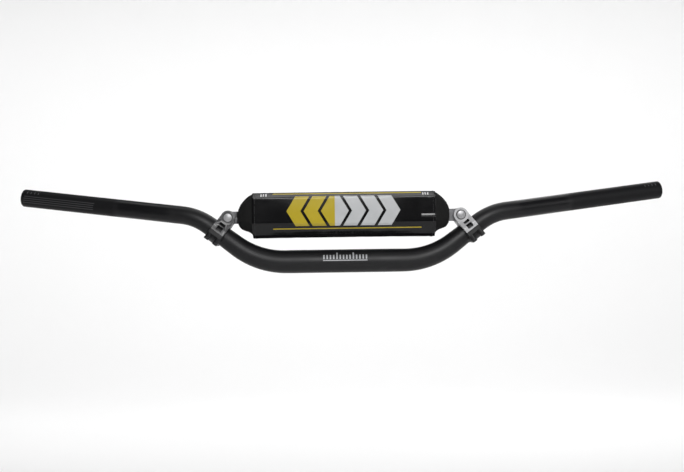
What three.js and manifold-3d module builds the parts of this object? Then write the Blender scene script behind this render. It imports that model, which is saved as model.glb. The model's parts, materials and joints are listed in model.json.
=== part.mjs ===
// Motocross handlebar: bent tapered tube, pivoting clamps, floating crossbar and crossbar pad.
// Millimetres, +Z up, +X to the right-hand grip as seen from the front of the machine (-Y).
// The origin is the centre of the stem section, on the tube's axis.

import * as THREE from 'three';
import { mergeVertices } from 'three/addons/utils/BufferGeometryUtils.js';
import Module from 'manifold-3d';

const wasm = await Module();
wasm.setup();

// ---------- driving dimensions ----------

const GAP = 0.3; // between touching pieces

const bar = {
  width: 815,
  rise: 85,
  sweepDegrees: 12,
  stemDiameter: 28.6,
  gripDiameter: 22.2,
  wall: 4,
  lowerCorner: { x: 106.5, z: 0, radius: 99 },
  upperCorner: { x: 181.5, z: 57, radius: 66 },
  taperStart: 53, // arc lengths from the middle of the tube
  taperEnd: 216,
  endChamfer: 0.6,
  sides: 20,
};

const clamp = {
  station: 166, // arc length from the middle of the tube
  pivotHeight: 22.1, // pivot axis above the tube's axis, square to it
  halfWidth: 8.7,
  armHalfDepth: 13.2, // ears' outer faces
  footHalfDepth: 18.5, // at the split line
  footHeight: 6,
  shoulderHeight: 16, // where the sloping face meets the ear
  bossRise: 1,
  slotHalfWidth: 6.1,
  eyeRoom: 7.9, // round floor of the slot
  tongueRoom: 8.2, // half height of the way out for the tongue
  capRadius: 14.9,
  flangeHeight: 5,
  postRadius: 3.3,
  postLength: 11.2,
  windowHalfWidth: 3.9,
  lowerWindow: [2.3, 8.3], // heights above the split line
  upperWindow: [9.7, 12.9],
  windowFloor: 9, // distance from the middle plane
};

const screw = {
  offsetAlong: 6.2,
  offsetAcross: 14.8,
  radius: 1.75,
  headRadius: 3.2,
  headLength: 3,
  reach: 5.6, // above the split line
  socketAcrossFlats: 3,
  socketDepth: 2,
};

const pivot = {
  radius: 3.5,
  headRadius: 5.9,
  headLength: 2.4,
  threadRadius: 3,
  washerRadius: 6.2,
  washerThickness: 1,
  nutAcrossFlats: 10,
  nutLength: 5,
  nutBore: 3.3,
};

const crossbar = {
  radius: 9.5,
  bore: 7,
  left: -113.4,
  right: 62,
  rodRadius: 6.6,
  rodBore: 4,
  rodLeft: -30,
  eyeRadius: 7.5,
  tongueHalfHeight: 7.5,
  tongueHalfDepth: 5.6,
  shoulderFrom: 113.7,
  shoulderTo: 118,
  spigotFrom: 94,
  rollPinAt: 103,
  rollPinRadius: 1.5,
  leftEyeBore: 5.2,
  rightEyeBore: 5, // the loop's open pivot
  spread: 1, // how far the right eye moves out and down as the bar flexes
  dip: 0.5,
};

const bush = { flangeLength: 3, spigotLength: 11, spigotRadius: 7.9, bore: 6.9 };

const lock = {
  left: 0,
  right: 18,
  bore: 9.8,
  radius: 12.5,
  camDepth: 1.7,
  camDegrees: 102,
  camFrom: 5,
  camTo: 13,
  collarRadius: 11,
  collarWidth: 2.7,
  clipWidth: 1.2,
  grooveRadius: 8.9,
  keyHalfLength: 2,
  keyHalfWidth: 1.8,
  keyBottom: 8.3,
  keyTop: 11,
};

const pad = {
  offset: -0.9, // its middle along the crossbar
  halfCover: 111.3,
  halfLength: 128.6,
  coverThickness: 1.2,
  centre: [-3, 1.6],
  // section sizes from the cover's edge to the tip
  endScales: [[0, 1], [0.15, 0.97], [0.5, 0.88], [0.8, 0.72], [1, 0.56]],
  front: -27,
  rear: 21,
  top: 29.3,
  bottom: -26,
  frontTop: 22.8, // edges of the flat front face
  frontBottom: -8.5,
  channelHalfHeight: 9.9,
  pocketHalfHeight: 13.4, // around the lock ring
  pocket: [-6, 24],
};

const flap = {
  halfLength: 100,
  thickness: 1.2,
  hingeHeight: 20,
  bottom: -20.5,
  standOff: 2.9,
  stripThickness: 1,
  stripBottom: -19.2,
  stripTop: -14.4,
};

// ---------- finishes ----------

function finish(color, roughness, metalness) {
  return () => new THREE.MeshStandardMaterial({ color, roughness, metalness });
}

const finishes = {
  blackAnodised: finish(0x26272a, 0.45, 0.8),
  brightAluminium: finish(0xb9bbbe, 0.35, 1),
  gunmetalAluminium: finish(0x8b8d92, 0.4, 1),
  blackAluminium: finish(0x323336, 0.55, 0.6),
  blackSteel: finish(0x3a3b3e, 0.5, 0.8),
  steel: finish(0xd2d3d5, 0.28, 1),
  polymer: finish(0xd8d4c6, 0.6, 0),
  foam: finish(0x333436, 0.95, 0),
  vinyl: finish(0x141416, 0.3, 0),
  webbing: finish(0x1d1d1f, 0.9, 0),
};

// ---------- solids ----------

function solid(geometry) {
  const bare = new THREE.BufferGeometry();
  bare.setAttribute('position', geometry.getAttribute('position').clone());
  bare.setIndex(geometry.getIndex());
  const merged = mergeVertices(bare, 1e-4);
  const index = merged.getIndex();
  const triangles = [];
  for (let i = 0; i < index.count; i += 3) {
    const [a, b, c] = [index.getX(i), index.getX(i + 1), index.getX(i + 2)];
    if (a !== b && b !== c && c !== a) triangles.push(a, b, c);
  }
  return new wasm.Manifold(new wasm.Mesh({
    numProp: 3,
    vertProperties: new Float32Array(merged.getAttribute('position').array),
    triVerts: new Uint32Array(triangles),
  }));
}

function surface(manifold) {
  const mesh = manifold.getMesh();
  const geometry = new THREE.BufferGeometry();
  geometry.setAttribute('position', new THREE.BufferAttribute(mesh.vertProperties, 3));
  geometry.setIndex(new THREE.BufferAttribute(mesh.triVerts, 1));
  geometry.computeVertexNormals();
  return geometry;
}

function mirrored(geometry) {
  const copy = geometry.clone().scale(-1, 1, 1);
  const index = copy.getIndex();
  for (let i = 0; i < index.count; i += 3) {
    const second = index.getX(i + 1);
    index.setX(i + 1, index.getX(i + 2));
    index.setX(i + 2, second);
  }
  copy.computeVertexNormals();
  return copy;
}

const X = new THREE.Vector3(1, 0, 0);
const Y = new THREE.Vector3(0, 1, 0);
const Z = new THREE.Vector3(0, 0, 1);

function outline(points) {
  return new THREE.Shape(points.map(([a, b]) => new THREE.Vector2(a, b)));
}

// A prism of a (y, z) outline between two x values.
function prismX(shape, from, to) {
  const settings = { depth: to - from, curveSegments: 8, bevelEnabled: false };
  const geometry = new THREE.ExtrudeGeometry(shape, settings);
  geometry.translate(0, 0, from);
  return solid(geometry.applyMatrix4(new THREE.Matrix4().makeBasis(Y, Z, X)));
}

// The same through several x stations, with the outline shrunk at each about a centre.
function taperedPrismX(shape, centre, stations) {
  const steps = stations.length - 1;
  const geometry = new THREE.ExtrudeGeometry(shape, { depth: steps, steps, bevelEnabled: false });
  const position = geometry.getAttribute('position');
  for (let i = 0; i < position.count; i += 1) {
    const { x, scale } = stations[Math.round(position.getZ(i))];
    const across = centre[0] + scale * (position.getX(i) - centre[0]);
    const height = centre[1] + scale * (position.getY(i) - centre[1]);
    position.setXYZ(i, x, across, height);
  }
  return solid(geometry);
}

// A prism of an (x, z) outline between two y values.
function prismY(shape, from, to) {
  const settings = { depth: to - from, curveSegments: 8, bevelEnabled: false };
  const geometry = new THREE.ExtrudeGeometry(shape, settings);
  geometry.translate(0, 0, -to);
  return solid(geometry.applyMatrix4(new THREE.Matrix4().makeBasis(X, Z, Y.clone().negate())));
}

function box(low, high) {
  const size = high.map((value, axis) => value - low[axis]);
  const centre = high.map((value, axis) => (value + low[axis]) / 2);
  return solid(new THREE.BoxGeometry(...size).translate(...centre));
}

function cylinder(radius, from, to, sides = 20) {
  return new THREE.CylinderGeometry(radius, radius, to - from, sides).translate(0, (from + to) / 2, 0);
}

const cylinderX = (...sizes) => solid(cylinder(...sizes).rotateZ(-Math.PI / 2));
const cylinderY = (...sizes) => solid(cylinder(...sizes));
const cylinderZ = (...sizes) => solid(cylinder(...sizes).rotateX(Math.PI / 2));

function hexagonal(acrossFlats, from, to) {
  return cylinder(acrossFlats / Math.sqrt(3), from, to, 6);
}

// A turned piece around X from [x, radius] points that start and end on the axis.
function turnedX(points, sides = 20) {
  const profile = points.map(([x, radius]) => new THREE.Vector2(radius, x));
  return solid(new THREE.LatheGeometry(profile, sides).rotateZ(-Math.PI / 2));
}

// A turned piece around Y from [y, radius] points that start and end on the axis.
function turnedY(points, sides = 20) {
  return solid(new THREE.LatheGeometry(points.map(([y, radius]) => new THREE.Vector2(radius, y)), sides));
}

// ---------- the tube's centreline ----------

class Bend extends THREE.Curve {
  constructor(corner, before, after, radius) {
    super();
    this.turn = before.angleTo(after);
    this.radius = radius;
    this.before = before;
    this.inward = after.clone().addScaledVector(before, -before.dot(after)).normalize();
    this.start = corner.clone().addScaledVector(before, -radius * Math.tan(this.turn / 2));
    this.centre = this.start.clone().addScaledVector(this.inward, radius);
  }

  getPoint(t, target = new THREE.Vector3()) {
    const angle = t * this.turn;
    return target.copy(this.centre)
      .addScaledVector(this.inward, -this.radius * Math.cos(angle))
      .addScaledVector(this.before, this.radius * Math.sin(angle));
  }
}

const halfWidth = bar.width / 2;
const sweepBack = (halfWidth - bar.upperCorner.x) * Math.tan(THREE.MathUtils.degToRad(bar.sweepDegrees));
const middle = new THREE.Vector3(0, 0, 0);
const lowerCorner = new THREE.Vector3(bar.lowerCorner.x, 0, bar.lowerCorner.z);
const upperCorner = new THREE.Vector3(bar.upperCorner.x, 0, bar.upperCorner.z);
const gripEnd = new THREE.Vector3(halfWidth, sweepBack, bar.rise);

const riserDirection = upperCorner.clone().sub(lowerCorner).normalize();
const gripDirection = gripEnd.clone().sub(upperCorner).normalize();
const lowerBend = new Bend(lowerCorner, X, riserDirection, bar.lowerCorner.radius);
const upperBend = new Bend(upperCorner, riserDirection, gripDirection, bar.upperCorner.radius);

const halfLine = new THREE.CurvePath();
halfLine.add(new THREE.LineCurve3(middle, lowerBend.start));
halfLine.add(lowerBend);
halfLine.add(new THREE.LineCurve3(lowerBend.getPoint(1), upperBend.start));
halfLine.add(upperBend);
halfLine.add(new THREE.LineCurve3(upperBend.getPoint(1), gripEnd));
const halfLength = halfLine.getLength();

// Place and directions of the tube at a signed arc length from its middle.
function barFrame(station) {
  const t = Math.min(1, Math.abs(station) / halfLength);
  const origin = halfLine.getPoint(t);
  const along = halfLine.getTangent(t);
  if (station < 0) {
    origin.x *= -1;
    along.set(along.x, -along.y, -along.z);
  }
  const side = along.clone().cross(Z).normalize();
  const up = side.clone().cross(along);
  return { origin, along, side, up };
}

function barRadius(station) {
  const blend = THREE.MathUtils.smoothstep(Math.abs(station), bar.taperStart, bar.taperEnd);
  return THREE.MathUtils.lerp(bar.stemDiameter, bar.gripDiameter, blend) / 2;
}

function barStations() {
  const stepsPerPiece = [3, 6, 3, 5, 2];
  const ends = halfLine.getCurveLengths();
  const half = [0];
  stepsPerPiece.forEach((steps, piece) => {
    const from = piece ? ends[piece - 1] : 0;
    for (let step = 1; step <= steps; step += 1) {
      half.push(from + ((ends[piece] - from) * step) / steps);
    }
  });
  return [...half.slice(1).reverse().map((station) => -station), ...half];
}

// Bends a turned profile of (radius, station) points along the tube's centreline.
function bentSolid(profile) {
  const geometry = new THREE.LatheGeometry(profile, bar.sides);
  const position = geometry.getAttribute('position');
  for (let i = 0; i < position.count; i += 1) {
    const frame = barFrame(position.getY(i));
    const point = frame.origin
      .addScaledVector(frame.side, position.getX(i))
      .addScaledVector(frame.up, position.getZ(i));
    position.setXYZ(i, point.x, point.y, point.z);
  }
  return solid(geometry);
}

function tubeProfile() {
  const stations = barStations();
  const inner = stations.slice(1, -1);
  const end = halfLength;
  const rim = bar.gripDiameter / 2;
  const outerWall = inner.map((station) => new THREE.Vector2(barRadius(station), station));
  const innerWall = stations.map((station) => new THREE.Vector2(barRadius(station) - bar.wall, station));
  return [
    new THREE.Vector2(rim - bar.endChamfer, -end),
    new THREE.Vector2(rim, -end + bar.endChamfer),
    ...outerWall,
    new THREE.Vector2(rim, end - bar.endChamfer),
    new THREE.Vector2(rim - bar.endChamfer, end),
    ...innerWall.reverse(),
    new THREE.Vector2(rim - bar.endChamfer, -end),
  ];
}

// The tube's outside without its bore, grown for the pieces that clasp it.
function barEnvelope(growth) {
  const walls = barStations().map((station) => new THREE.Vector2(barRadius(station) + growth, station));
  return bentSolid([new THREE.Vector2(0, -halfLength), ...walls, new THREE.Vector2(0, halfLength)]);
}

// ---------- scene ----------

const handlebar = new THREE.Group();

function addPart(parent, name, geometry, makeMaterial) {
  const mesh = new THREE.Mesh(geometry, makeMaterial());
  mesh.name = name;
  parent.add(mesh);
  return mesh;
}

addPart(handlebar, 'handlebar_tube', surface(bentSolid(tubeProfile())), finishes.blackAnodised);

// ---------- clamps, in the right clamp's frame: x along the tube, z away from it ----------

const clampTilt = riserDirection.angleTo(X);
const clampCentre = barFrame(clamp.station).origin.setY(0);
const pivotPoint = new THREE.Vector3(-Math.sin(clampTilt), 0, Math.cos(clampTilt))
  .multiplyScalar(clamp.pivotHeight)
  .add(clampCentre);

function clampGroup(side) {
  const group = new THREE.Group();
  group.position.set(side * clampCentre.x, 0, clampCentre.z);
  group.rotation.y = -side * clampTilt;
  group.updateMatrix();
  handlebar.add(group);
  return group;
}

const rightClamp = clampGroup(1);
const leftClamp = clampGroup(-1);
const toClampFrame = rightClamp.matrix.clone().invert();

const seatCutter = solid(surface(barEnvelope(GAP)).applyMatrix4(toClampFrame));
const screwPlaces = [-1, 1].flatMap((across) => [-1, 1].map((along) => ({
  x: along * screw.offsetAlong,
  y: across * screw.offsetAcross,
})));

function armOutline() {
  const shape = new THREE.Shape();
  shape.moveTo(-clamp.halfWidth, GAP / 2);
  shape.lineTo(clamp.halfWidth, GAP / 2);
  shape.lineTo(clamp.halfWidth, clamp.pivotHeight);
  shape.absarc(0, clamp.pivotHeight, clamp.halfWidth, 0, Math.PI, false);
  return shape;
}

function armSection() {
  const top = clamp.pivotHeight + clamp.halfWidth;
  const rightSide = [
    [clamp.footHalfDepth, GAP / 2],
    [clamp.footHalfDepth, clamp.footHeight],
    [clamp.armHalfDepth, clamp.shoulderHeight],
    [clamp.armHalfDepth, top + 1],
  ];
  const leftSide = rightSide.map(([y, z]) => [-y, z]).reverse();
  return outline([...rightSide, ...leftSide]);
}

// Room for the crossbar's eye and tongue, which leaves towards the middle of the handlebar.
// A second round pocket takes the eye where the flexing bar carries it.
function eyeSlot() {
  const { slotHalfWidth: depth, eyeRoom: radius, tongueRoom, pivotHeight } = clamp;
  const reach = 40;
  const round = cylinderY(radius, -depth, depth, 24);
  const flexed = new THREE.Vector3(crossbar.spread, 0, -crossbar.dip).applyAxisAngle(Y, clampTilt);
  const above = box([-reach, -depth, 0], [reach, depth, reach]);
  const tongue = solid(new THREE.BoxGeometry(reach, 2 * depth, 2 * tongueRoom)
    .translate(-reach / 2, 0, 0)
    .rotateY(clampTilt));
  return round.add(round.translate(flexed.toArray())).add(above).add(tongue).translate([0, 0, pivotHeight]);
}

function armWindows() {
  const cuts = [];
  for (const [low, high] of [clamp.lowerWindow, clamp.upperWindow]) {
    const [near, far] = [clamp.windowFloor, clamp.footHalfDepth + 1];
    cuts.push(box([-clamp.windowHalfWidth, near, low], [clamp.windowHalfWidth, far, high]));
    cuts.push(box([-clamp.windowHalfWidth, -far, low], [clamp.windowHalfWidth, -near, high]));
  }
  return cuts;
}

function clampUpper() {
  const depth = clamp.footHalfDepth + 1;
  let body = prismY(armOutline(), -depth, depth)
    .intersect(prismX(armSection(), -clamp.halfWidth - 1, clamp.halfWidth + 1));
  const bossDepth = clamp.armHalfDepth + clamp.bossRise;
  const boss = cylinderY(clamp.halfWidth, -bossDepth, bossDepth, 24).translate([0, 0, clamp.pivotHeight]);
  body = body.add(boss).subtract(eyeSlot()).subtract(seatCutter);
  for (const window of armWindows()) body = body.subtract(window);
  for (const place of screwPlaces) {
    const hole = cylinderZ(screw.radius + GAP, -1, screw.reach + 0.5, 12).translate([place.x, place.y, 0]);
    body = body.subtract(hole);
  }
  const pinHole = cylinderY(pivot.radius + GAP, -depth, depth).translate([0, 0, clamp.pivotHeight]);
  return body.subtract(pinHole);
}

function clampLower() {
  const top = -GAP / 2;
  const wall = cylinderX(clamp.capRadius, -clamp.halfWidth, clamp.halfWidth, 24)
    .intersect(box([-20, -20, -20], [20, 20, top]));
  const flange = box(
    [-clamp.halfWidth, -clamp.footHalfDepth, -clamp.flangeHeight],
    [clamp.halfWidth, clamp.footHalfDepth, top],
  );
  let body = wall.add(flange);
  for (const place of screwPlaces) {
    const post = cylinderZ(clamp.postRadius, -clamp.postLength, top, 16);
    body = body.add(post.translate([place.x, place.y, 0]));
  }
  body = body.subtract(seatCutter);
  for (const place of screwPlaces) {
    const hole = cylinderZ(screw.radius + GAP, -clamp.postLength - 1, 1, 12);
    body = body.subtract(hole.translate([place.x, place.y, 0]));
  }
  return body;
}

function clampScrew() {
  const seat = -clamp.postLength - GAP;
  const face = seat - screw.headLength;
  const head = cylinderZ(screw.headRadius, face, seat, 16);
  const shank = cylinderZ(screw.radius, seat - 1, screw.reach, 12);
  const socket = hexagonal(screw.socketAcrossFlats, face - 1, face + screw.socketDepth);
  return head.add(shank).subtract(solid(socket.rotateX(Math.PI / 2)));
}

function pivotPin() {
  const face = clamp.armHalfDepth + clamp.bossRise + GAP;
  const chamfer = 0.5;
  const end = face + pivot.washerThickness + GAP + pivot.nutLength + 1;
  return turnedY([
    [-face - pivot.headLength, 0],
    [-face - pivot.headLength, pivot.headRadius - chamfer],
    [-face - pivot.headLength + chamfer, pivot.headRadius],
    [-face, pivot.headRadius],
    [-face, pivot.radius],
    [face - GAP, pivot.radius],
    [face - GAP, pivot.threadRadius],
    [end - chamfer, pivot.threadRadius],
    [end, pivot.threadRadius - chamfer],
    [end, 0],
  ]);
}

function pivotWasher() {
  const from = clamp.armHalfDepth + clamp.bossRise + GAP;
  const to = from + pivot.washerThickness;
  return cylinderY(pivot.washerRadius, from, to).subtract(cylinderY(pivot.nutBore, from - 1, to + 1));
}

function pivotNut() {
  const from = clamp.armHalfDepth + clamp.bossRise + pivot.washerThickness + 2 * GAP;
  const to = from + pivot.nutLength;
  const thread = cylinderY(pivot.nutBore, from - 1, to + 1);
  return solid(hexagonal(pivot.nutAcrossFlats, from, to)).subtract(thread);
}

const clampPieces = {
  upper: surface(clampUpper()),
  lower: surface(clampLower()),
  screw: surface(clampScrew()),
  pin: surface(pivotPin()),
  washer: surface(pivotWasher()),
  nut: surface(pivotNut()),
};

function dressClamp(group, side, armFinish) {
  const facing = side === 'left' ? mirrored : (geometry) => geometry;
  const away = side === 'left' ? -1 : 1;
  addPart(group, `${side}_clamp_upper`, facing(clampPieces.upper), armFinish);
  addPart(group, `${side}_clamp_lower`, facing(clampPieces.lower), finishes.blackAluminium);
  screwPlaces.forEach((place, index) => {
    const name = `${side}_clamp_screw_${index + 1}`;
    const mesh = addPart(group, name, clampPieces.screw.clone(), finishes.blackSteel);
    mesh.position.set(away * place.x, place.y, 0);
  });
  for (const piece of ['pin', 'washer', 'nut']) {
    const mesh = addPart(group, `${side}_pivot_${piece}`, clampPieces[piece].clone(), finishes.steel);
    mesh.position.z = clamp.pivotHeight;
  }
}

dressClamp(rightClamp, 'right', finishes.brightAluminium);
dressClamp(leftClamp, 'left', finishes.gunmetalAluminium);

// ---------- crossbar, in a frame on the pivots' line ----------

const bridge = new THREE.Group();
bridge.position.z = pivotPoint.z;
handlebar.add(bridge);

const eyeAt = pivotPoint.x;

function eyeEnd(eyeBore, spigotRadius) {
  const { tongueHalfHeight: half, tongueHalfDepth: depth, shoulderFrom, shoulderTo } = crossbar;
  const side = outline([[shoulderFrom, -half], [eyeAt, -half], [eyeAt, half], [shoulderFrom, half]]);
  const tongue = prismY(side, -depth, depth);
  const eye = cylinderY(crossbar.eyeRadius, -depth, depth, 24).translate([eyeAt, 0, 0]);
  const shoulder = cylinderX(crossbar.radius - 0.1, shoulderFrom, shoulderTo, 24);
  const spigot = cylinderX(spigotRadius, crossbar.spigotFrom, shoulderFrom + 1);
  const bore = cylinderY(eyeBore, -depth - 1, depth + 1, 24).translate([eyeAt, 0, 0]);
  return tongue.add(eye).add(shoulder).add(spigot).subtract(bore).subtract(rollPinHole(crossbar.rollPinAt));
}

function rollPinHole(at) {
  return cylinderY(crossbar.rollPinRadius + GAP, -20, 20, 12).translate([at, 0, 0]);
}

function rollPin(length) {
  const pin = cylinderY(crossbar.rollPinRadius, -length / 2, length / 2, 12);
  return pin.translate([crossbar.rollPinAt, 0, 0]);
}

// The hollow outer half, with a collar beside the lock ring and a groove for its clip.
function crossbarTube() {
  const { radius, bore, left, right } = crossbar;
  const collarRight = lock.left - GAP;
  const grooveLeft = lock.right + GAP;
  const grooveRight = grooveLeft + lock.clipWidth + 2 * GAP;
  const outside = turnedX([
    [left, 0],
    [left, radius],
    [collarRight - lock.collarWidth, radius],
    [collarRight - lock.collarWidth, lock.collarRadius],
    [collarRight, lock.collarRadius],
    [collarRight, radius],
    [grooveLeft, radius],
    [grooveLeft, lock.grooveRadius],
    [grooveRight, lock.grooveRadius],
    [grooveRight, radius],
    [right, radius],
    [right, 0],
  ], 24);
  const keyMiddle = (lock.camFrom + lock.camTo) / 2;
  const keySlot = box(
    [keyMiddle - lock.keyHalfLength - GAP, -lock.keyHalfWidth - GAP, 0],
    [keyMiddle + lock.keyHalfLength + GAP, lock.keyHalfWidth + GAP, lock.radius],
  );
  return outside
    .subtract(cylinderX(bore, left - 1, right + 1, 24))
    .subtract(cylinderX(bush.spigotRadius + GAP, right - bush.spigotLength - GAP, right + 1, 24))
    .subtract(rollPinHole(-crossbar.rollPinAt))
    .subtract(keySlot);
}

function crossbarRod() {
  const { rodRadius, rodBore, rodLeft, shoulderFrom } = crossbar;
  const right = shoulderFrom - GAP;
  return cylinderX(rodRadius, rodLeft, right, 24)
    .subtract(cylinderX(rodBore, rodLeft - 1, right + 1))
    .subtract(rollPinHole(crossbar.rollPinAt));
}

function slideBush() {
  const { right, radius } = crossbar;
  const left = right - bush.spigotLength;
  return cylinderX(bush.spigotRadius, left, right + GAP + 1, 24)
    .add(cylinderX(radius, right + GAP, right + GAP + bush.flangeLength, 24))
    .subtract(cylinderX(bush.bore, left - 1, right + 2 * bush.flangeLength, 24));
}

function eyeBush() {
  const depth = crossbar.tongueHalfDepth;
  const hole = cylinderY(pivot.radius + GAP, -depth - 1, depth + 1);
  return cylinderY(crossbar.leftEyeBore - GAP, -depth, depth).subtract(hole);
}

// The cam inside the lock ring: its radius falls steadily as the ring turns over the key.
function camOutline() {
  const lead = 20;
  const step = 4;
  const points = [[0, 0]];
  for (let degrees = -lead; degrees <= lock.camDegrees; degrees += step) {
    const fall = Math.max(0, degrees) / lock.camDegrees;
    const radius = lock.bore + lock.camDepth * (1 - fall);
    const angle = THREE.MathUtils.degToRad(90 - degrees);
    points.push([radius * Math.cos(angle), radius * Math.sin(angle)]);
  }
  return outline(points.reverse());
}

function lockRing() {
  const { left, right, radius, bore } = lock;
  return cylinderX(radius, left, right, 24)
    .subtract(cylinderX(bore, left - 1, right + 1, 24))
    .subtract(prismX(camOutline(), lock.camFrom - 1, lock.camTo + 1));
}

function lockKey() {
  const keyMiddle = (lock.camFrom + lock.camTo) / 2;
  return box(
    [keyMiddle - lock.keyHalfLength, -lock.keyHalfWidth, lock.keyBottom],
    [keyMiddle + lock.keyHalfLength, lock.keyHalfWidth, lock.keyTop],
  );
}

function lockRingClip() {
  const left = lock.right + 2 * GAP;
  const right = left + lock.clipWidth;
  const opening = box([left - 1, -2.5, -20], [right + 1, 2.5, 0]);
  return cylinderX(lock.collarRadius, left, right, 24)
    .subtract(cylinderX(lock.grooveRadius + GAP, left - 1, right + 1, 24))
    .subtract(opening);
}

const rightEyeEnd = surface(eyeEnd(crossbar.rightEyeBore, crossbar.rodBore - GAP));
const leftEyeEnd = mirrored(surface(eyeEnd(crossbar.leftEyeBore, crossbar.bore - GAP)));
const leftRollPin = mirrored(surface(rollPin(2 * crossbar.radius - 1)));

addPart(bridge, 'crossbar_tube', surface(crossbarTube()), finishes.blackAnodised);
addPart(bridge, 'crossbar_rod', surface(crossbarRod()), finishes.brightAluminium);
addPart(bridge, 'left_eye_end', leftEyeEnd, finishes.brightAluminium);
addPart(bridge, 'right_eye_end', rightEyeEnd, finishes.brightAluminium);
addPart(bridge, 'left_eye_bush', surface(eyeBush()), finishes.polymer).position.x = -eyeAt;
addPart(bridge, 'left_roll_pin', leftRollPin, finishes.blackSteel);
addPart(bridge, 'right_roll_pin', surface(rollPin(2 * crossbar.rodRadius - 1)), finishes.blackSteel);
addPart(bridge, 'slide_bush', surface(slideBush()), finishes.polymer);
addPart(bridge, 'lock_ring', surface(lockRing()), finishes.brightAluminium);
addPart(bridge, 'lock_key', surface(lockKey()), finishes.steel);
addPart(bridge, 'lock_ring_clip', surface(lockRingClip()), finishes.blackSteel);

// ---------- crossbar pad ----------

const padSection = [
  [pad.front, pad.frontTop],
  [-18.5, pad.top],
  [15, pad.top],
  [pad.rear, 24.2],
  [pad.rear, -21],
  [15, pad.bottom],
  [-9, pad.bottom],
  [-14, -22.6],
  [pad.front, pad.frontBottom],
];

// A convex outline moved inwards by one distance along every edge.
function inset(points, distance) {
  const lines = points.map((point, index) => {
    const next = points[(index + 1) % points.length];
    const direction = new THREE.Vector2(next[0] - point[0], next[1] - point[1]).normalize();
    const inward = new THREE.Vector2(direction.y, -direction.x);
    return { base: new THREE.Vector2(...point).addScaledVector(inward, distance), direction };
  });
  return lines.map((line, index) => {
    const previous = lines[(index + lines.length - 1) % lines.length];
    const between = line.base.clone().sub(previous.base);
    const reach = between.cross(line.direction) / previous.direction.cross(line.direction);
    const corner = previous.base.clone().addScaledVector(previous.direction, reach);
    return [corner.x, corner.y];
  });
}

function channel(halfHeight, from, to) {
  return box([from, -halfHeight, -halfHeight], [to, pad.rear + 1, halfHeight]);
}

function padCore() {
  const section = outline(inset(padSection, pad.coverThickness + GAP));
  const rightEnd = pad.endScales.map(([reach, scale]) => ({
    x: THREE.MathUtils.lerp(pad.halfCover, pad.halfLength, reach),
    scale,
  }));
  const leftEnd = rightEnd.map(({ x, scale }) => ({ x: -x, scale })).reverse();
  return taperedPrismX(section, pad.centre, [...leftEnd, ...rightEnd])
    .subtract(channel(pad.channelHalfHeight, -pad.halfLength - 1, pad.halfLength + 1))
    .subtract(channel(pad.pocketHalfHeight, ...pad.pocket));
}

function padCover() {
  const end = pad.halfCover;
  const inside = outline(inset(padSection, pad.coverThickness));
  const { pocketHalfHeight: half } = pad;
  const rearOpening = box([-end - 1, 0, -half], [end + 1, pad.rear + 1, half]);
  return prismX(outline(padSection), -end, end)
    .subtract(prismX(inside, -end - 1, end + 1))
    .subtract(rearOpening);
}

// The rear flap hangs from its sewn edge and stands off the cover by the two closure strips.
function padFlap() {
  const near = pad.rear + GAP;
  const far = pad.rear + flap.standOff;
  const thick = flap.thickness;
  const bendTop = flap.hingeHeight - 4;
  const bendBottom = bendTop - 3;
  const section = outline([
    [near, flap.hingeHeight],
    [near, bendTop],
    [far, bendBottom],
    [far, flap.bottom],
    [far + thick, flap.bottom],
    [far + thick, bendBottom],
    [near + thick, bendTop],
    [near + thick, flap.hingeHeight],
  ]);
  return prismX(section, -flap.halfLength, flap.halfLength);
}

function closureStrip(near) {
  const end = flap.halfLength - 2;
  return box([-end, near, flap.stripBottom], [end, near + flap.stripThickness, flap.stripTop]);
}

const padPieces = [
  ['pad_core', padCore(), finishes.foam],
  ['pad_cover', padCover(), finishes.vinyl],
  ['pad_flap', padFlap(), finishes.vinyl],
  ['loop_strip', closureStrip(pad.rear + GAP), finishes.webbing],
  ['hook_strip', closureStrip(pad.rear + flap.stripThickness + 2 * GAP), finishes.webbing],
];
for (const [name, body, finish] of padPieces) {
  addPart(bridge, name, surface(body), finish).position.x = pad.offset;
}

export default handlebar;
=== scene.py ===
import json
import math

import bmesh
import bpy
from mathutils import Matrix, Vector, noise


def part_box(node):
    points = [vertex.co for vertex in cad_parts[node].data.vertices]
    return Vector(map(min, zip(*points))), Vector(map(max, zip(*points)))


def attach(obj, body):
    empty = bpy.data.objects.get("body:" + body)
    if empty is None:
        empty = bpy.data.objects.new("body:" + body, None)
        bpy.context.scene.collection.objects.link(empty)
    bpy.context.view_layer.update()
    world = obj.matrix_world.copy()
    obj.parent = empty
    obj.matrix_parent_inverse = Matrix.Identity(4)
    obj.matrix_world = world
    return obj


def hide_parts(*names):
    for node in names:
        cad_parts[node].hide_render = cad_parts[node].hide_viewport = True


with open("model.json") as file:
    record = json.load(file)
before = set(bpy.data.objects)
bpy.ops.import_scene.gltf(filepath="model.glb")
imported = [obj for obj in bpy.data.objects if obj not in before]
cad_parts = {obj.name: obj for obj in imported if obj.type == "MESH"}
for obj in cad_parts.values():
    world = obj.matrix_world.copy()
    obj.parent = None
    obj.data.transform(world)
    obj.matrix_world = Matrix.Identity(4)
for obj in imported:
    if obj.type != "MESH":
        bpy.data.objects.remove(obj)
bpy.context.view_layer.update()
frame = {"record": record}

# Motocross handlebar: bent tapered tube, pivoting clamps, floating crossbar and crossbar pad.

# Shapes are drawn in millimetres and stored in metres.
MM = 0.001

# ---------- sizes ----------

BAR_HALF_WIDTH = 407.5
BAR_RISE = 85.0
SWEEP = math.radians(12)
STEM_RADIUS = 14.3
GRIP_RADIUS = 11.1
WALL = 4.0
LOWER_CORNER = Vector((106.5, 0, 0))
LOWER_BEND_RADIUS = 99.0
UPPER_CORNER = Vector((181.5, 0, 57.0))
UPPER_BEND_RADIUS = 66.0
TAPER = (53.0, 216.0)

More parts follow.
